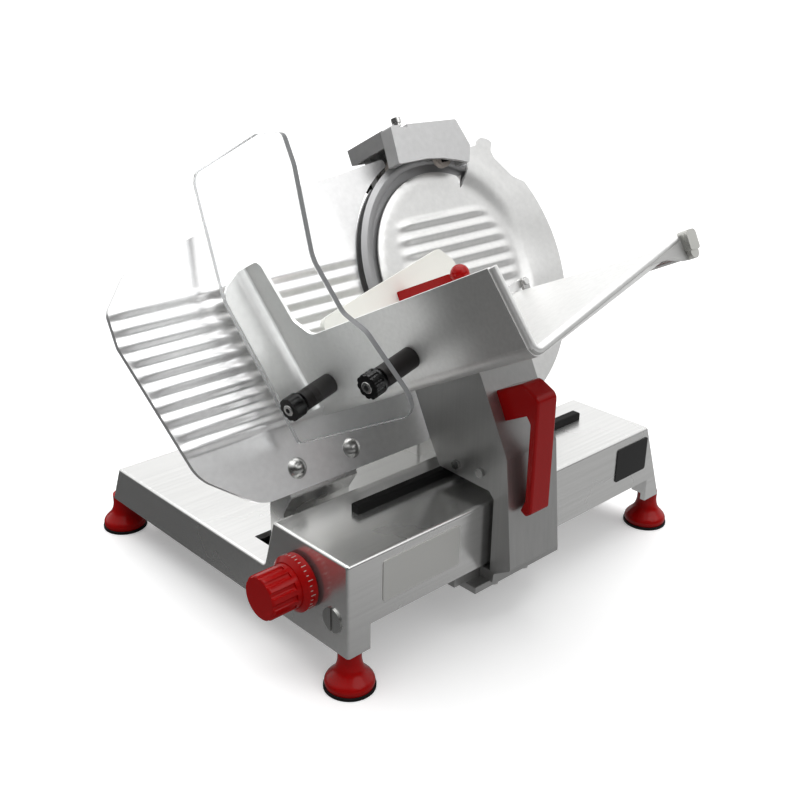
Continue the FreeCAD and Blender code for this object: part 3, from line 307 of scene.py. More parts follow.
def show(
    name: str,
    bm: bmesh.types.BMesh,
    finish: Finish,
    node: str,
    edge: float,
    rim: Optional[Finish] = None,
    replaces: bool = True,
) -> bpy.types.Object:
    """Turn a mesh in progress into a visible piece.

    Args:
        name: Name of the piece.
        bm: Mesh in metres, in the part's frame.
        finish: Its finish.
        node: CAD node that it moves with.
        edge: Width of its softened edges in millimetres, or zero for none.
        rim: Finish of its narrow sides or other marked faces, where it differs, such as the lighter metal
            painted on the tray's lit faces.
        replaces: Whether it stands for the node.

    Returns:
        The piece.
    """
    bmesh.ops.recalc_face_normals(bm, faces=bm.faces)
    mesh = bpy.data.meshes.new(name)
    bm.to_mesh(mesh)
    bm.free()
    for polygon in mesh.polygons:
        polygon.use_smooth = True
    mesh.set_sharp_from_angle(angle=SHARP_ANGLE)
    piece = bpy.data.objects.new(name, mesh)
    bpy.context.scene.collection.objects.link(piece)
    mesh.materials.append(finish.material())
    mesh.materials.append((rim or finish).material())
    if edge > 0.0:
        bevel = piece.modifiers.new("soft edges", "BEVEL")
        bevel.width = edge * MM
        bevel.segments = 3
        bevel.limit_method = "ANGLE"
        bevel.angle_limit = SOFTENED_ANGLE
        bevel.harden_normals = True
        bevel.use_clamp_overlap = True
        bevel.miter_outer = "MITER_ARC"
    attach(piece, BODY_OF[node])
    if replaces:
        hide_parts(node)
    LOG.info("piece %s: %d faces", name, len(mesh.polygons))
    return piece


def dress(node: str, finish: Finish, edge: float) -> bpy.types.Object:
    """Give a CAD node softened edges and a finish.

    Args:
        node: Name of the node.
        finish: Its finish.
        edge: Width of its softened edges in millimetres.

    Returns:
        The piece that stands for the node.
    """
    bm = bmesh.new()
    bm.from_mesh(frame["nodes"][node].data)
    bmesh.ops.remove_doubles(bm, verts=bm.verts, dist=WELD_DISTANCE)
    piece = show(node + "_skin", bm, finish, node, edge)
    level = piece.modifiers.new("level faces", "WEIGHTED_NORMAL")
    level.weight = FACE_SIZE_WEIGHT
    level.keep_sharp = True
    return piece


def paint(node: str, finish: Finish) -> None:
    """Give a CAD node its finish as it is.

    Args:
        node: Name of the node.
        finish: Its finish.
    """
    mesh = frame["nodes"][node].data
    mesh.materials.clear()
    mesh.materials.append(finish.material())


def rounded(points: Sequence[Point], steps: int = 8) -> list[tuple[float, float]]:
    """Closed outline whose corners are rounded by their third number.

    Args:
        points: Corners as across, up and optional radius.
        steps: Straight pieces in each rounded corner.

    Returns:
        The outline's points.
    """
    result = []
    count = len(points)
    for i, point in enumerate(points):
        here = Vector(point[:2])
        radius = point[2] if len(point) > 2 else 0.0
        if radius <= 0.0:
            result.append((here.x, here.y))
            continue
        back = (Vector(points[i - 1][:2]) - here).normalized()
        ahead = (Vector(points[(i + 1) % count][:2]) - here).normalized()
        half = back.angle(ahead) / 2.0
        inward = (back + ahead).normalized()
        centre = here + inward * (radius / math.sin(half))
        start = here + back * (radius / math.tan(half)) - centre
        end = here + ahead * (radius / math.tan(half)) - centre
        sweep = start.angle_signed(end)
        for k in range(steps + 1):
            turned = start.copy()
            turned.rotate(Matrix.Rotation(-sweep * k / steps, 2))
            result.append((centre.x + turned.x, centre.y + turned.y))
    return result


def cut_sheet(
    outline: Sequence[Point],
    across: Iterable[float] = (),
    up: Iterable[float] = (),
) -> bmesh.types.BMesh:
    """Flat outline cut along straight lines, ready to be shaped.

    Args:
        outline: Its points.
        across: Places of cuts at constant first coordinate.
        up: Places of cuts at constant second coordinate.

    Returns:
        The cut sheet, flat in millimetres.
    """
    bm = bmesh.new()
    bm.faces.new([bm.verts.new((p[0], p[1], 0.0)) for p in outline])
    for axis, places in ((0, across), (1, up)):
        normal = Vector((1.0, 0.0, 0.0)) if axis == 0 else Vector((0.0, 1.0, 0.0))
        for place in places:
            everything = bm.verts[:] + bm.edges[:] + bm.faces[:]
            bmesh.ops.bisect_plane(bm, geom=everything, plane_co=normal * place, plane_no=normal)
    return bm


def thicken(sheet: bmesh.types.BMesh, place: Place) -> bmesh.types.BMesh:
    """Closed body between the two sides of a flat sheet.

    Args:
        sheet: The cut sheet.
        place: Gives the place of a sheet point for side 1 (front) and side 0 (back).

    Returns:
        The body, in metres.
    """
    body = bmesh.new()
    sides = []
    for side in (1.0, 0.0):
        sides.append({v: body.verts.new(place(v.co.x, v.co.y, side)) for v in sheet.verts})
    front, back = sides
    for face in sheet.faces:
        body.faces.new([front[v] for v in face.verts])
        body.faces.new([back[v] for v in reversed(face.verts)])
    for edge in sheet.edges:
        if len(edge.link_faces) == 1:
            a, b = edge.verts
            rim = body.faces.new([front[b], front[a], back[a], back[b]])
            rim.material_index = 1
    sheet.free()
    return body


def paint_lit_faces(body: bmesh.types.BMesh, aim: Point, least: float) -> bmesh.types.BMesh:
    """Paint light on the faces that are turned one way, by giving them the finish of the narrow sides.

    Args:
        body: The closed body.
        aim: The direction.
        least: Smallest cosine between it and a face's normal.

    Returns:
        The same body.
    """
    bmesh.ops.recalc_face_normals(body, faces=body.faces)
    body.normal_update()
    for face in body.faces:
        if face.normal.dot(Vector(aim)) > least:
            face.material_index = 1
    return body


def block(outline: Sequence[Point], place: Place) -> bmesh.types.BMesh:
    """Plain body between the two sides of an outline."""
    return thicken(cut_sheet(outline), place)


def join(parts: Iterable[bmesh.types.BMesh]) -> bmesh.types.BMesh:
    """One mesh in progress out of several.

    Args:
        parts: The meshes, which are used up.

    Returns:
        The whole.
    """
    whole = bmesh.new()
    for part in parts:
        spare = bpy.data.meshes.new("spare")
        part.to_mesh(spare)
        part.free()
        whole.from_mesh(spare)
        bpy.data.meshes.remove(spare)
    return whole


def arc(centre: Point, radius: float, start: float, end: float, count: int) -> list[tuple[float, float]]:
    """Points along an arc.

    Args:
        centre: Its centre.
        radius: Its radius.
        start: Angle of its first point, in degrees.
        end: Angle of its last point, in degrees.
        count: Straight pieces in it.

    Returns:
        The points.
    """
    points = []
    for k in range(count + 1):
        angle = math.radians(start + (end - start) * k / count)
        points.append((centre[0] + radius * math.cos(angle), centre[1] + radius * math.sin(angle)))
    return points


def sweep(path: Sequence[tuple[Vector, Vector, Vector]], section: Sequence[Point]) -> bmesh.types.BMesh:
    """Body with one section carried along a path.

    Args:
        path: Centre, first and second direction of each station, in metres.
        section: Outline of the section in millimetres along the two directions.

    Returns:
        The body, closed at both ends.
    """
    body = bmesh.new()
    rings = []
    for centre, first, second in path:
        rings.append([body.verts.new(centre + first * (p[0] * MM) + second * (p[1] * MM)) for p in section])
    count = len(section)
    for low, high in zip(rings, rings[1:]):
        for k in range(count):
            body.faces.new([low[k], low[(k + 1) % count], high[(k + 1) % count], high[k]])
    body.faces.new(list(reversed(rings[0])))
    body.faces.new(rings[-1])
    return body


def steps_between(low: float, high: float, step: float) -> list[float]:
    """Evenly spaced places strictly between two ends, about one step apart."""
    count = max(1, round((high - low) / step))
    return [low + (high - low) * i / count for i in range(1, count)]


# ---------------------------------------------------------------- sub-assemblies


@dataclass
class Base:
    """Base casting with its feet, plates, strip and covers."""

    casting_edge: float = 1.0
    button_edge: float = 0.8

    def build(self) -> None:
        """Make and dress the base."""
        dress("base_casting", BASE_METAL, self.casting_edge)
        dress("bottom_cover", BRIGHT_STEEL, 0.2)
        paint("bottom_cover_screws", BRIGHT_STEEL)
        dress("feet", RED_PLASTIC, 0.3)
        dress("foot_pads", BLACK_RUBBER, 0.5)
        dress("rail_strip", BLACK_RUBBER, 0.4)
        paint("guide_rod", BRIGHT_STEEL)
        dress("rod_end_plugs", DULL_STEEL, 0.4)
        dress("data_plate", PLATE_SILVER, 0.2)
        dress("front_plate", BLACK_PLASTIC, 0.25)
        dress("switch_plate", PLATE_SILVER, 0.3)
        dress("start_button", GREEN_PLASTIC, self.button_edge)
        dress("stop_button", RED_PLASTIC, self.button_edge)
        dress("cord_gland", BLACK_RUBBER, 0.4)
        paint("gauge_rod", BRIGHT_STEEL)


@dataclass
class Carriage:
    """Sliding arm with its handle, slide block and roller."""

    arm_edge: float = 1.2
    block_edge: float = 0.6
    handle_edge: float = 0.8

    def build(self) -> None:
        """Make and dress the carriage."""
        # The slide block gets the arm's darker metal as painted shade, because it sits in shade under the
        # arm.
        dress("slide_block", ARM_METAL, self.block_edge)
        paint("slide_bushes", BRONZE)
        dress("carriage_arm", ARM_METAL, self.arm_edge)
        dress("arm_bolts", DULL_STEEL, 0.3)
        paint("roller_pin", BRIGHT_STEEL)
        dress("carriage_roller", CHARCOAL, 0.4)
        dress("carriage_handle", RED_PLASTIC, self.handle_edge)
        paint("tray_bolts", BRIGHT_STEEL)


@dataclass
class Tray:
    """Product tray with its hand guard and pusher."""

    thickness: float = 3.0
    near: float = 163.5
    far: float = 440.0
    flange_bend: float = 12.0
    corner_bend: float = 10.5
    floor_drop: float = 0.05
    wall_end: float = 74.0
    edge_inset: float = 3.6
    edge_overlap: float = 0.2
    edge_span: Span = (14.0, 217.0)
    edge_slope: float = 0.016
    edge_section: Span = (4.4, 3.9)
    web_inset: float = 1.5
    web_thickness: float = 4.3
    lug_near: float = 172.0
    lug_thickness: float = 8.0
    guard_face: float = -40.0
    guard_thickness: float = 5.0
    guard_lean: float = math.radians(22.0)
    guard_bend: float = 136.0
    guard_bend_length: float = 14.0
    knob_height: float = 28.0
    screw_face: float = -56.0
    screw_radius: float = 5.2
    screw_depth: float = 2.4
    socket_shade_face: float = -58.0
    socket_shade_radius: float = 2.6
    socket_shade_depth: float = 0.5

    def build(self) -> None:
        """Make and dress the tray."""
        self._tray()
        self._guard()
        dress("guard_standoffs", CHARCOAL, 0.5)
        dress("guard_studs", BRIGHT_STEEL, 0.4)
        for w, node in ((203.0, "guard_knob_near"), (318.0, "guard_knob_far")):
            dress(node, BLACK_PLASTIC, 0.6)
            self._knob_centre(w, node)
        dress("pusher_rod", BRIGHT_STEEL, 0.3)
        dress("pusher_rod_end", BLOCK_METAL, 0.6)
        dress("pusher_sleeve", BRIGHT_STEEL, 0.4)
        dress("pusher_arm", TRAY_METAL, 0.3)
        dress("pusher_plate", PUSHER_WHITE, 1.0)
        dress("pusher_handle", RED_PLASTIC, 0.8)

    def _wall_place(self, s: float, c: float, side: float) -> Vector:
        """Place on the wall, its bend and its flange.

        Args:
            s: Distance along them from the start of the bend.
            c: Height on the wall.
            side: Which side of the sheet, from 0 to 1.

        Returns:
            The place in metres.
        """
        radius = self.flange_bend
        depth = (side - 0.5) * self.thickness
        centre_w = self.near + self.thickness / 2 + radius
        centre_a = -self.thickness / 2 - radius
        if s <= 0.0:
            return tray_place(centre_a + s, centre_w - radius + depth, c)
        angle = s / radius
        if angle < math.pi / 2:
            reach = radius - depth
            return tray_place(centre_a + reach * math.sin(angle), centre_w - reach * math.cos(angle), c)
        return tray_place(-self.thickness / 2 - depth, centre_w + s - radius * math.pi / 2, c)

    def _floor_place(self, t: float, w: float, side: float) -> Vector:
        """Place on the floor and its corner.

        Args:
            t: Distance across them from the end of the corner.
            w: Distance out of the blade's plane.
            side: Which side of the sheet, from 0 to 1.

        Returns:
            The place in metres.
        """
        radius = self.corner_bend
        inner = radius - self.thickness / 2
        depth = (side - 0.5) * self.thickness
        if t >= 0.0:
            return tray_place(inner + t, w, -self.thickness / 2 + depth - self.floor_drop)
        angle = t / radius + math.pi / 2
        reach = radius - depth + self.floor_drop
        return tray_place(inner - reach * math.cos(angle), w, inner - reach * math.sin(angle))

    def _tray(self) -> None:
        """Bent sheet of the tray with its rolled far edge and rod holders, with light and shade painted on
        it by the way its faces turn.
        """
        bend = self.flange_bend * math.pi / 2
        low = self.corner_bend - self.thickness / 2
        shift = bend - (self.near + self.thickness / 2 + self.flange_bend)
        wall_outline = rounded(
            [
                (-20.5, 14, 6),
                (-20.5, 142, 16),
                (6, 152, 14),
                (194 + shift, 152.5, 7),
                (197.5 + shift, 92, 10),
                (212 + shift, self.wall_end, 14),
                (self.far + shift, self.wall_end),
                (self.far + shift, low),
                (4, low),
            ],
            10,
        )
        wall = cut_sheet(wall_outline, [bend * k / 12 for k in range(13)], steps_between(low, 150, 20))
        corner = self.corner_bend * math.pi / 2
        floor_outline = rounded(
            [
                (-corner, self.near + 15),
                (-corner * 0.5, self.near, 6),
                (253, self.near, 2),
                (253, 167.5, 3),
                (217, 390, 60),
                (213, self.far),
                (-corner, self.far),
            ],
            8,
        )
        corner_cuts = [-corner * k / 10 for k in range(1, 10)] + [0.0]
        floor = cut_sheet(floor_outline, corner_cuts, steps_between(164, self.far, 25))
        # Painted light and shade: faces turned to the operator or upwards get the lighter tray metal, and
        # the rest get the darker, shaded copy.
        operator, above = (0.0, -0.93, 0.37), (0.0, 0.0, 1.0)
        whole = join(
            [
                paint_lit_faces(thicken(wall, self._wall_place), operator, 0.45),
                paint_lit_faces(thicken(floor, self._floor_place), above, 0.0),
                paint_lit_faces(self._rolled_edge(), above, -0.2),
                self._rod_web(),
                self._rod_lug(),
            ]
        )
        show("tray_sheet", whole, SHADED_TRAY_METAL, "product_tray", 0.5, TRAY_METAL)

    def _rolled_edge(self) -> bmesh.types.BMesh:
        """Rolled edge along the far end of wall and floor."""
        along = (tray_place(0, 1, 0) - tray_place(0, 0, 0)).normalized()
        inner = self.corner_bend - self.thickness / 2
        radius = self.corner_bend - self.edge_inset
        stations = [(inner - radius, c, 0.0) for c in (self.wall_end - 1, 45.0, inner + 2)]
        for k in range(11):
            angle = math.pi / 2 * k / 10
            a = inner - radius * math.cos(angle)
            stations.append((a, inner - radius * math.sin(angle), angle))
        first, last = self.edge_span
        for a in (first, 120.0, last):
            stations.append((a, inner - radius + self.edge_slope * (a - first), math.pi / 2))
        path = []
        for a, c, angle in stations:
            inward = tray_place(math.cos(angle), 0, math.sin(angle)) - tray_place(0, 0, 0)
            path.append((tray_place(a, self.far - self.edge_overlap, c), along, inward.normalized()))
        wide, high = self.edge_section
        section = [(wide * math.cos(k * math.pi / 8), high * math.sin(k * math.pi / 8)) for k in range(16)]
        return sweep(path, section)

    def _rod_web(self) -> bmesh.types.BMesh:
        """Web under the rolled edge at the tip."""
        corners = [(165, 2), (218, 7, 2), (229, 5, 2), (231, -14, 3), (218, -15.5, 3), (196, -5, 30)]
        start, depth = self.far - self.web_inset, self.web_thickness
        return block(rounded(corners, 4), lambda a, c, side: tray_place(a, start + depth * side, c))

    def _rod_lug(self) -> bmesh.types.BMesh:
        """Lug under the floor for the near end of the pusher's rod."""
        corners = [(197, -2), (228, -2), (234, -8, 3), (234, -20, 8), (217, -20, 8), (214, -14, 6)]
        start, depth = self.lug_near, self.lug_thickness
        return block(rounded(corners, 4), lambda a, c, side: tray_place(a, start + depth * side, c))

    def _guard_place(self, w: float, t: float, side: float) -> Vector:
        """Place on the clear guard.

        Args:
            w: Distance out of the blade's plane.
            t: Distance up the guard.
            side: Which side of the sheet, from 0 to 1.

        Returns:
            The place in metres.
        """
        length = self.guard_bend_length
        depth = self.guard_face - self.guard_thickness * side
        start = self.guard_bend - length / 2
        if t <= start:
            return tray_place(depth, w, t)
        radius = length / self.guard_lean
        angle = min(t - start, length) / radius
        reach = radius - (depth - self.guard_face)
        a = self.guard_face + radius - reach * math.cos(angle)
        c = start + reach * math.sin(angle)
        beyond = max(0.0, t - start - length)
        return tray_place(a + beyond * math.sin(angle), w, c + beyond * math.cos(angle))

    def _guard(self) -> None:
        """Clear guard with its softly bent upper part."""
        outline = rounded(
            [
                (343, -8, 18),
                (342, 14, 20),
                (332, 68, 16),
                (317, 88, 14),
                (315, 136),
                (313.5, 211, 30),
                (307, 240, 10),
                (271, 251.5, 12),
                (159.5, 254, 10),
                (175, 136),
                (170, -8, 3),
            ],
            10,
        )
        start = self.guard_bend - self.guard_bend_length / 2
        sheet = cut_sheet(outline, (), [start + self.guard_bend_length * k / 10 for k in range(11)])
        show("guard_sheet", thicken(sheet, self._guard_place), GUARD_CLEAR, "hand_guard", 0.5, GUARD_EDGE)

    def _knob_centre(self, w: float, node: str) -> None:
        """Bright socket screw in the middle of a knob, with a thin black hexagon on its face as painted
        shade of the socket.

        Args:
            w: Place of the knob out of the blade's plane.
            node: The knob's node.
        """

        def turned(face: float, depth: float) -> Place:
            """Place on a flat disc in the knob's end, by its face and depth."""
            return lambda p, q, side: tray_place(face - depth * side, w + p, self.knob_height + q)

        head = arc((0, 0), self.screw_radius, 0, 345, 23)
        screw = block(head, turned(self.screw_face, self.screw_depth))
        show(node + "_screw", screw, BRIGHT_STEEL, node, 0.7, replaces=False)
        # The socket is not hollow. A thin black hexagon on the screw's face is painted shade standing in
        # for it.
        hexagon = arc((0, 0), self.socket_shade_radius, 0, 300, 5)
        socket = block(hexagon, turned(self.socket_shade_face, self.socket_shade_depth))
        show(node + "_socket", socket, BLACK_RUBBER, node, 0.0, replaces=False)


@dataclass
class Gauge:
    """Gauge plate with its carrier, cam and dial."""

    front: float = 150.0
    back: float = 145.0
    cut_out: float = 128.0
    right_end: float = 26.0
    left_low: Span = (-292.0, 128.0)
    left_high: Span = (-326.0, 255.0)
    left_slope: float = 0.9
    rib_top: float = 284.0
    rib_count: int = 10
    pitch: float = 14.3
    rib_height: float = 2.5
    rib_shape: float = 0.8
    left_fade: Span = (1.5, 9.0)
    blade_fade: Span = (2.0, 9.0)
    right_fade: Span = (-14.0, -8.0)
    dial_face: tuple[float, float, float] = (-249.3, -145.0, 93.0)
    dial_radius: float = 26.2
    mark_count: int = 36
    long_mark: float = 5.0
    short_mark: float = 2.6

    def build(self) -> None:
        """Make and dress the gauge."""
        self._plate()
        dress("gauge_screws", DULL_STEEL, 0.3)
        dress("gauge_carrier", BASE_METAL, 0.6)
        dress("dial_knob", RED_PLASTIC, 0.5)
        self._dial_marks()
        paint("dial_cam", BRIGHT_STEEL)

    def _left_edge(self, u: float) -> float:
        """Left edge of the plate at a height up it, which the ribs stop short of."""
        low_x, low_u = self.left_low
        high_x, high_u = self.left_high
        if u < high_u:
            return low_x + (high_x - low_x) * (u - low_u) / (high_u - low_u)
        return high_x + max(0.0, u - self.rib_top) * self.left_slope

    def _rise(self, x: float, u: float) -> float:
        """Height of the ribs over the plate.

        Args:
            x: Distance across.
            u: Distance up the blade's plane.

        Returns:
            The height in millimetres.
        """
        lowest = self.rib_top - self.pitch * (self.rib_count - 1)
        if not lowest - self.pitch / 2 < u < self.rib_top + self.pitch / 2:
            return 0.0
        wave = 0.5 + 0.5 * math.cos(2 * math.pi * (self.rib_top - u) / self.pitch)
        left = self._left_edge(u)
        reach = math.hypot(x - BLADE_X, u - BLADE_U)
        mask = smooth_step(left + self.left_fade[0], left + self.left_fade[1], x)
        mask *= smooth_step(self.cut_out + self.blade_fade[0], self.cut_out + self.blade_fade[1], reach)
        mask *= 1.0 - smooth_step(*self.right_fade, x)
        return self.rib_height * mask * wave**self.rib_shape

    def _plate_place(self, x: float, u: float, side: float) -> Vector:
        """Place on the gauge plate's ribbed front or its flat back."""
        return leaning(x, self.front + self._rise(x, u) if side > 0.5 else self.back, u)

    def _plate(self) -> None:
        """Ribbed plate round the blade."""
        start = math.degrees(math.acos((BLADE_X - self.right_end) / self.cut_out))
        outline = rounded(
            [
                (-30, 87, 6),
                (-240, 87, 40),
                (*self.left_low, 40),
                (*self.left_high, 14),
                (self.left_high[0], 286, 14),
                (-299, 316, 30),
                (-130, 359, 10),
                (-99, 363, 10),
                (-40, 369, 10),
                (self.right_end, 378, 4),
            ],
            8,
        )
        outline += arc((BLADE_X, BLADE_U), self.cut_out, 180.0 - start, 229.1, 40)
        outline += rounded([(-9.8, 154.2), (-20, 130, 20), (-30, 87)], 8)[1:-1]
        across = [-318.0, -312.0] + [-300.0 + 10.0 * k for k in range(29)]
        up = [145.0 + self.pitch / 8 * k for k in range(83)]
        plate = thicken(cut_sheet(outline, across, up), self._plate_place)
        show("gauge_sheet", plate, GAUGE_METAL, "gauge_plate", 0.6)

    def _dial_marks(self) -> None:
        """Pale marks round the dial's flange."""
        section = [(-0.35, 0), (0.35, 0), (0.35, 0.45), (-0.35, 0.45)]
        marks = []
        for k in range(self.mark_count):
            angle = math.radians(360.0 / self.mark_count * k)
            out = Vector((0.0, math.cos(angle), math.sin(angle)))
            side = Vector((0.0, -math.sin(angle), math.cos(angle)))
            length = self.long_mark if k % 3 == 0 else self.short_mark
            start = row(*self.dial_face) + out * self.dial_radius * MM
            path = [(start, side, out), (start + Vector((length * MM, 0, 0)), side, out)]
            marks.append(sweep(path, section))
        show("dial_marks", join(marks), MARK_WHITE, "dial_knob", 0.0, replaces=False)


@dataclass
class BladeUnit:
    """Blade with its cover, ring, drive and sharpener.

    The cover is a round plate on the left, and from the step on it widens to a band round the blade.
    """

    cover: float = 103.5
    cover_front: float = 157.0
    cover_back: float = 153.8
    edge_width: float = 3.0
    edge_drop: float = 1.4
    step: Span = (115.5, 118.0)
    ridge_height: float = 4.7
    ridge_front: Span = (93.0, 113.0)
    ridge_back: Span = (98.0, 111.0)
    ledge_height: float = 1.2
    ledge: Span = (122.0, 136.0)
    band: float = 160.0
    band_centre: Span = (75.0, 245.0)
    band_end: float = 29.8
    skirt_back: float = 146.0
    skirt_depth: float = 14.0
    rib_top: float = 304.0
    rib_pitch: float = 15.0
    rib_count: int = 9
    rib_height: float = 2.6
    rib_shape: float = 1.1
    rib_field: Span = (76.0, 92.0)
    rib_left_fade: Span = (0.0, 24.0)

    def _cover_rise(self, x: float, u: float) -> float:
        """Height of the cover's front over its flat plate.

        Args:
            x: Distance across.
            u: Distance up the blade's plane.

        Returns:
            The height in millimetres.
        """
        reach = math.hypot(x - BLADE_X, u - BLADE_U)
        ridge = self.ridge_height * smooth_step(*self.ridge_front, reach) * smooth_step(*self.step, x)
        ledge = self.ledge_height * smooth_step(*self.ledge, reach) * smooth_step(*self.step, x)
        inner = math.hypot(x - BLADE_X, u - self.band_centre[1])
        lowest = self.rib_top - self.rib_pitch * (self.rib_count - 1)
        wave = 0.0
        if lowest - self.rib_pitch / 2 < u < self.rib_top + self.rib_pitch / 2:
            wave = 0.5 + 0.5 * math.cos(2 * math.pi * (self.rib_top - u) / self.rib_pitch)
        mask = (1.0 - smooth_step(*self.rib_field, inner)) * smooth_step(*self.rib_left_fade, x)
        return ridge - ledge + self.rib_height * mask * wave**self.rib_shape

    def _cover_place(self, x: float, u: float, side: float) -> Vector:
        """Place on the cover's front or back.

        Args:
            x: Distance across.
            u: Distance up the blade's plane.
            side: 1 on the front and 0 on the back.

        Returns:
            The place in metres.
        """
        reach = math.hypot(x - BLADE_X, u - BLADE_U)
        if side < 0.5:
            ridge = self.ridge_height * smooth_step(*self.ridge_back, reach) * smooth_step(*self.step, x)
            return leaning(x, self.cover_back + ridge, u)
        drop = 0.0
        if x < self.step[1] - 0.1:
            drop = self.edge_drop * smooth_step(self.cover - self.edge_width, self.cover, reach) ** 2
        return leaning(x, self.cover_front + self._cover_rise(x, u) - drop, u)

    def _cover(self) -> None:
        """Cover of the blade that widens to a band with an ear."""
        low = math.degrees(math.acos((self.step[1] - BLADE_X) / self.cover))
        foot = -math.degrees(math.acos((self.step[1] - self.band_centre[0]) / self.band))
        outline = [(114.3, 331.7)]
        outline += arc((BLADE_X, BLADE_U), self.cover, 64.5, 360.0 - low, 90)
        outline += arc(self.band_centre, self.band, foot, self.band_end, 50)
        outline += rounded(
            [
                (214, 324.5),
                (197, 333.4, 10),
                (183.8, 349.2),
                (177, 357, 5),
                (175, 365.4, 3),
                (176.6, 368.8),
                (181, 375, 2),
                (174, 380, 3),
                (165, 382, 3),
                (158, 379, 2),
                (155, 374),
                (147, 374, 2),
                (134, 356),
                (self.step[1], 334),
            ],
            4,
        )
        across = [-30.0 + 6.0 * k for k in range(25)]
        across += [self.step[0], 116.7, self.step[1]]
        across += [121.0 + 4.0 * k for k in range(16)]
        up = [92.0 + 7.0 * k for k in range(12)]
        up += [176.5 + 1.5 * k for k in range(92)]
        up += [318.0 + 6.0 * k for k in range(9)]
        sheet = thicken(cut_sheet(outline, across, up), self._cover_place)
        ring = arc(self.band_centre, self.band - 0.1, foot, self.band_end, 40)
        ring += arc(self.band_centre, self.band - 4, self.band_end, foot, 40)
        back, depth = self.skirt_back, self.skirt_depth
        skirt = block(ring, lambda x, u, side: leaning(x, back + depth * side, u))
        show("cover_sheet", join([sheet, skirt]), COVER_METAL, "blade_cover", 0.6)

    def build(self) -> None:
        """Make and dress the blade unit."""
        dress("blade", BLADE_STEEL, 0.0)
        paint("blade_screws", BRIGHT_STEEL)
        paint("blade_hub", BRIGHT_STEEL)
        paint("blade_bearings", BRIGHT_STEEL)
        paint("motor_drive", BRIGHT_STEEL)
        paint("motor_body", MOTOR_GREY)
        paint("drive_belt", BLACK_RUBBER)
        # The housing is darkened as painted shade.
        dress("motor_housing", SHADED_HOUSING_METAL, 0.6)
        dress("ring_guard", BLADE_STEEL, 0.5)
        dress("slice_deflector", BLADE_STEEL, 0.2)
        self._cover()
        paint("cover_tie_rod", BRIGHT_STEEL)
        dress("cover_knob", BLACK_PLASTIC, 0.8)
        dress("sharpener_body", HOOD_METAL, 0.7)
        dress("sharpener_post", BASE_METAL, 0.6)
        dress("sharpener_lock", BRIGHT_STEEL, 0.4)
        dress("sharpen_stone", STONE, 0.3)
        dress("sharpen_button", BLACK_PLASTIC, 0.5)
        dress("deburr_stone", STONE, 0.3)
        dress("deburr_knob", BLACK_PLASTIC, 0.5)


# ---------------------------------------------------------------- studio


def maths(tree: bpy.types.NodeTree, operation: str, clamp: bool = False) -> bpy.types.Node:
    """Maths node.

    Args:
        tree: Node tree that it goes in.
        operation: Its operation.
        clamp: Whether its result is held between zero and one.

    Returns:
        The node.
    """
    node = tree.nodes.new("ShaderNodeMath")
    node.operation = operation
    node.use_clamp = clamp
    return node


def seen_directly(tree: bpy.types.NodeTree, rays: bpy.types.Node) -> bpy.types.NodeSocket:
    """Mask of what the camera sees itself or through a clear piece.

    Args:
        tree: Node tree that the mask goes in.
        rays: Its light path node.

    Returns:
        The mask's socket.
    """
    both = maths(tree, "ADD", clamp=True)
    tree.links.new(rays.outputs["Is Camera Ray"], both.inputs[0])
    tree.links.new(rays.outputs["Is Transmission Ray"], both.inputs[1])
    return both.outputs[0]


@dataclass(frozen=True)
class Ramp:
    """Soft rise from one level to another along a direction."""

    aim: tuple[float, float, float]
    reach: Span
    levels: Span

    def level(self, tree: bpy.types.NodeTree, source: bpy.types.NodeSocket) -> bpy.types.NodeSocket:
        """Place the ramp's nodes.

        Args:
            tree: Node tree that they go in.
            source: Place or direction that is measured.

        Returns:
            The level's socket.
        """
        along = tree.nodes.new("ShaderNodeVectorMath")
        along.operation = "DOT_PRODUCT"
        along.inputs[1].default_value = self.aim
        rise = tree.nodes.new("ShaderNodeMapRange")
        rise.interpolation_type = "SMOOTHSTEP"
        rise.inputs["From Min"].default_value = self.reach[0]
        rise.inputs["From Max"].default_value = self.reach[1]
        rise.inputs["To Min"].default_value = self.levels[0]
        rise.inputs["To Max"].default_value = self.levels[1]
        tree.links.new(source, along.inputs[0])
        tree.links.new(along.outputs["Value"], rise.inputs["Value"])
        return rise.outputs["Result"]


@dataclass(frozen=True)
class Lamp:
    """Distant soft light, by where it comes from and the angle in degrees that it fills."""

    name: str
    source: tuple[float, float, float]
    power: float
    spread: float

    def hang(self) -> None:
        """Put the lamp in the scene."""
        data = bpy.data.lights.new(self.name, "SUN")
        data.energy = self.power
        data.angle = math.radians(self.spread)
        lamp = bpy.data.objects.new(self.name, data)
        lamp.location = Vector(self.source) * 2.0
        lamp.rotation_mode = "QUATERNION"
        lamp.rotation_quaternion = Vector(self.source).to_track_quat("Z", "Y")
        bpy.context.scene.collection.objects.link(lamp)


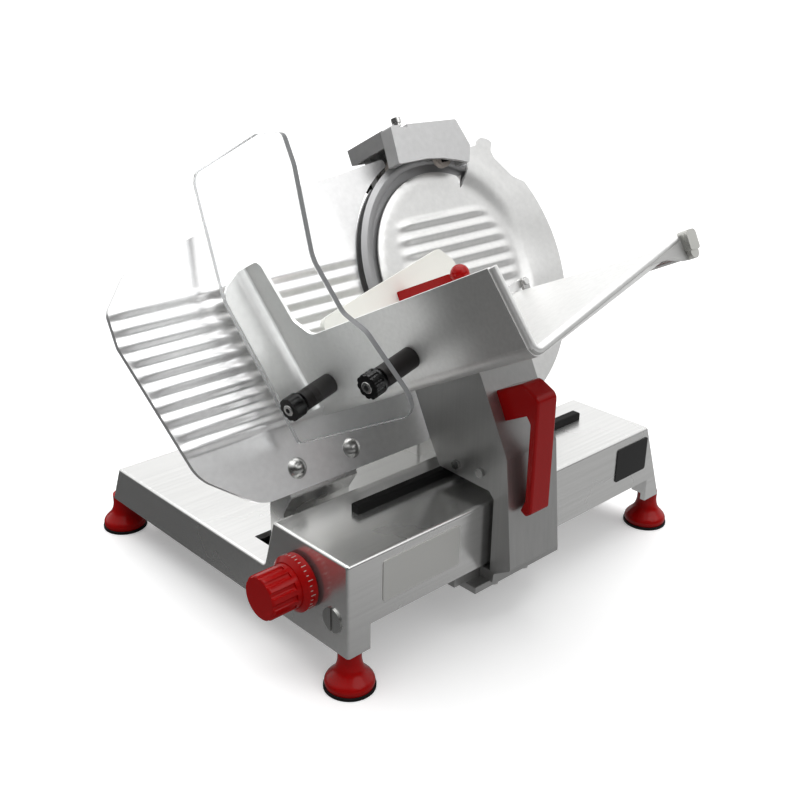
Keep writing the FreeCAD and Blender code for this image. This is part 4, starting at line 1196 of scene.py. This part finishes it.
@dataclass
class Studio:
    """Floor, light and camera.

    Light on the metal comes from the sky and the lamps. What the metal mirrors is set apart from it,
    by a ramp over the sky and two over the floor.
    """

    lens: float = 48.79
    sensor: float = 36.0
    camera_place: tuple[float, float, float] = (-743.3, -795.6, 614.3)
    yaw: float = math.radians(46.34)
    pitch: float = math.radians(22.99)
    roll: float = math.radians(1.003)
    sky: float = 0.34
    floor_size: float = 60.0
    floor_drop: float = 0.2
    floor_lift: float = 0.25
    floor_seen: float = 0.95
    floor_bounce: float = 0.45
    mirror_near: Ramp = Ramp((0.6, -0.8, 0.0), (-0.30, 0.40), (0.08, 0.50))
    mirror_far: Ramp = Ramp((0.7, 0.7, 0.0), (0.3, 1.6), (0.0, 0.72))
    mirror_sky: Ramp = Ramp((0.35, 0.45, 0.85), (-0.05, 0.50), (0.06, 1.12))
    key: Lamp = Lamp("key light", (0.05, 0.20, 1.0), 2.2, 70.0)
    fill: Lamp = Lamp("fill light", (0.2, -0.75, 0.85), 0.7, 50.0)

    def build(self) -> None:
        """Make the studio."""
        bpy.context.scene.view_settings.view_transform = "Standard"
        self._floor()
        self._world()
        self.key.hang()
        self.fill.hang()
        self._camera()

    def _floor(self) -> None:
        """White floor that keeps the shadow, and mirrors darker on the operator's left."""
        bpy.ops.mesh.primitive_plane_add(size=self.floor_size, location=row(0, 0, -self.floor_drop))
        floor = bpy.context.object
        floor.name = "floor"
        material = bpy.data.materials.new("floor white")
        material.use_nodes = True
        tree = material.node_tree
        nodes, links = tree.nodes, tree.links
        nodes.clear()
        out = nodes.new("ShaderNodeOutputMaterial")
        rays = nodes.new("ShaderNodeLightPath")
        direct = seen_directly(tree, rays)
        tone = maths(tree, "MULTIPLY_ADD")
        tone.inputs[1].default_value = self.floor_seen - self.floor_bounce
        tone.inputs[2].default_value = self.floor_bounce
        diffuse = nodes.new("ShaderNodeBsdfDiffuse")
        links.new(direct, tone.inputs[0])
        links.new(tone.outputs[0], diffuse.inputs["Color"])
        lift = maths(tree, "MULTIPLY")
        lift.inputs[1].default_value = self.floor_lift
        glow = nodes.new("ShaderNodeEmission")
        links.new(direct, lift.inputs[0])
        links.new(lift.outputs[0], glow.inputs["Strength"])
        lit = nodes.new("ShaderNodeAddShader")
        links.new(diffuse.outputs[0], lit.inputs[0])
        links.new(glow.outputs[0], lit.inputs[1])
        place = nodes.new("ShaderNodeTexCoord")
        level = maths(tree, "ADD")
        links.new(self.mirror_near.level(tree, place.outputs["Object"]), level.inputs[0])
        links.new(self.mirror_far.level(tree, place.outputs["Object"]), level.inputs[1])
        mirrored = nodes.new("ShaderNodeEmission")
        links.new(level.outputs[0], mirrored.inputs["Strength"])
        bounced = maths(tree, "SUBTRACT", clamp=True)
        links.new(rays.outputs["Is Glossy Ray"], bounced.inputs[0])
        links.new(rays.outputs["Is Transmission Ray"], bounced.inputs[1])
        choose = nodes.new("ShaderNodeMixShader")
        links.new(bounced.outputs[0], choose.inputs["Fac"])
        links.new(lit.outputs[0], choose.inputs[1])
        links.new(mirrored.outputs[0], choose.inputs[2])
        links.new(choose.outputs[0], out.inputs["Surface"])
        floor.data.materials.append(material)

    @staticmethod
    def _background(nodes: bpy.types.Nodes, strength: float) -> bpy.types.Node:
        """White background of one strength."""
        node = nodes.new("ShaderNodeBackground")
        node.inputs["Color"].default_value = (1.0, 1.0, 1.0, 1.0)
        node.inputs["Strength"].default_value = strength
        return node

    def _world(self) -> None:
        """White surroundings that light softly and mirror brightest from above at the back right."""
        world = bpy.data.worlds.new("studio")
        bpy.context.scene.world = world
        world.use_nodes = True
        tree = world.node_tree
        nodes, links = tree.nodes, tree.links
        nodes.clear()
        out = nodes.new("ShaderNodeOutputWorld")
        rays = nodes.new("ShaderNodeLightPath")
        light = self._background(nodes, self.sky)
        mirrored = self._background(nodes, 1.0)
        white = self._background(nodes, 1.0)
        place = nodes.new("ShaderNodeTexCoord")
        links.new(self.mirror_sky.level(tree, place.outputs["Generated"]), mirrored.inputs["Strength"])
        glossy = nodes.new("ShaderNodeMixShader")
        links.new(rays.outputs["Is Glossy Ray"], glossy.inputs["Fac"])
        links.new(light.outputs[0], glossy.inputs[1])
        links.new(mirrored.outputs[0], glossy.inputs[2])
        choose = nodes.new("ShaderNodeMixShader")
        links.new(seen_directly(tree, rays), choose.inputs["Fac"])
        links.new(glossy.outputs[0], choose.inputs[1])
        links.new(white.outputs[0], choose.inputs[2])
        links.new(choose.outputs[0], out.inputs["Surface"])

    def _camera(self) -> None:
        """Camera at the operator's left."""
        forward = Vector(
            (
                math.cos(self.yaw) * math.cos(self.pitch),
                math.sin(self.yaw) * math.cos(self.pitch),
                -math.sin(self.pitch),
            )
        )
        side = Vector((math.sin(self.yaw), -math.cos(self.yaw), 0.0))
        up = side.cross(forward)
        right = side * math.cos(self.roll) + up * math.sin(self.roll)
        top = up * math.cos(self.roll) - side * math.sin(self.roll)
        data = bpy.data.cameras.new("camera")
        data.lens = self.lens
        data.sensor_width = self.sensor
        camera = bpy.data.objects.new("camera", data)
        turn = Matrix((right, top, -forward)).transposed()
        camera.matrix_world = Matrix.Translation(row(*self.camera_place)) @ turn.to_4x4()
        bpy.context.scene.collection.objects.link(camera)
        bpy.context.scene.camera = camera


def main() -> None:
    """Build every sub-assembly and the studio."""
    logging.basicConfig(level=logging.INFO, format="%(name)s %(message)s")
    for assembly in (Base(), Carriage(), Tray(), Gauge(), BladeUnit(), Studio()):
        LOG.info("building %s", type(assembly).__name__)
        assembly.build()


if __name__ == "__main__":
    main()
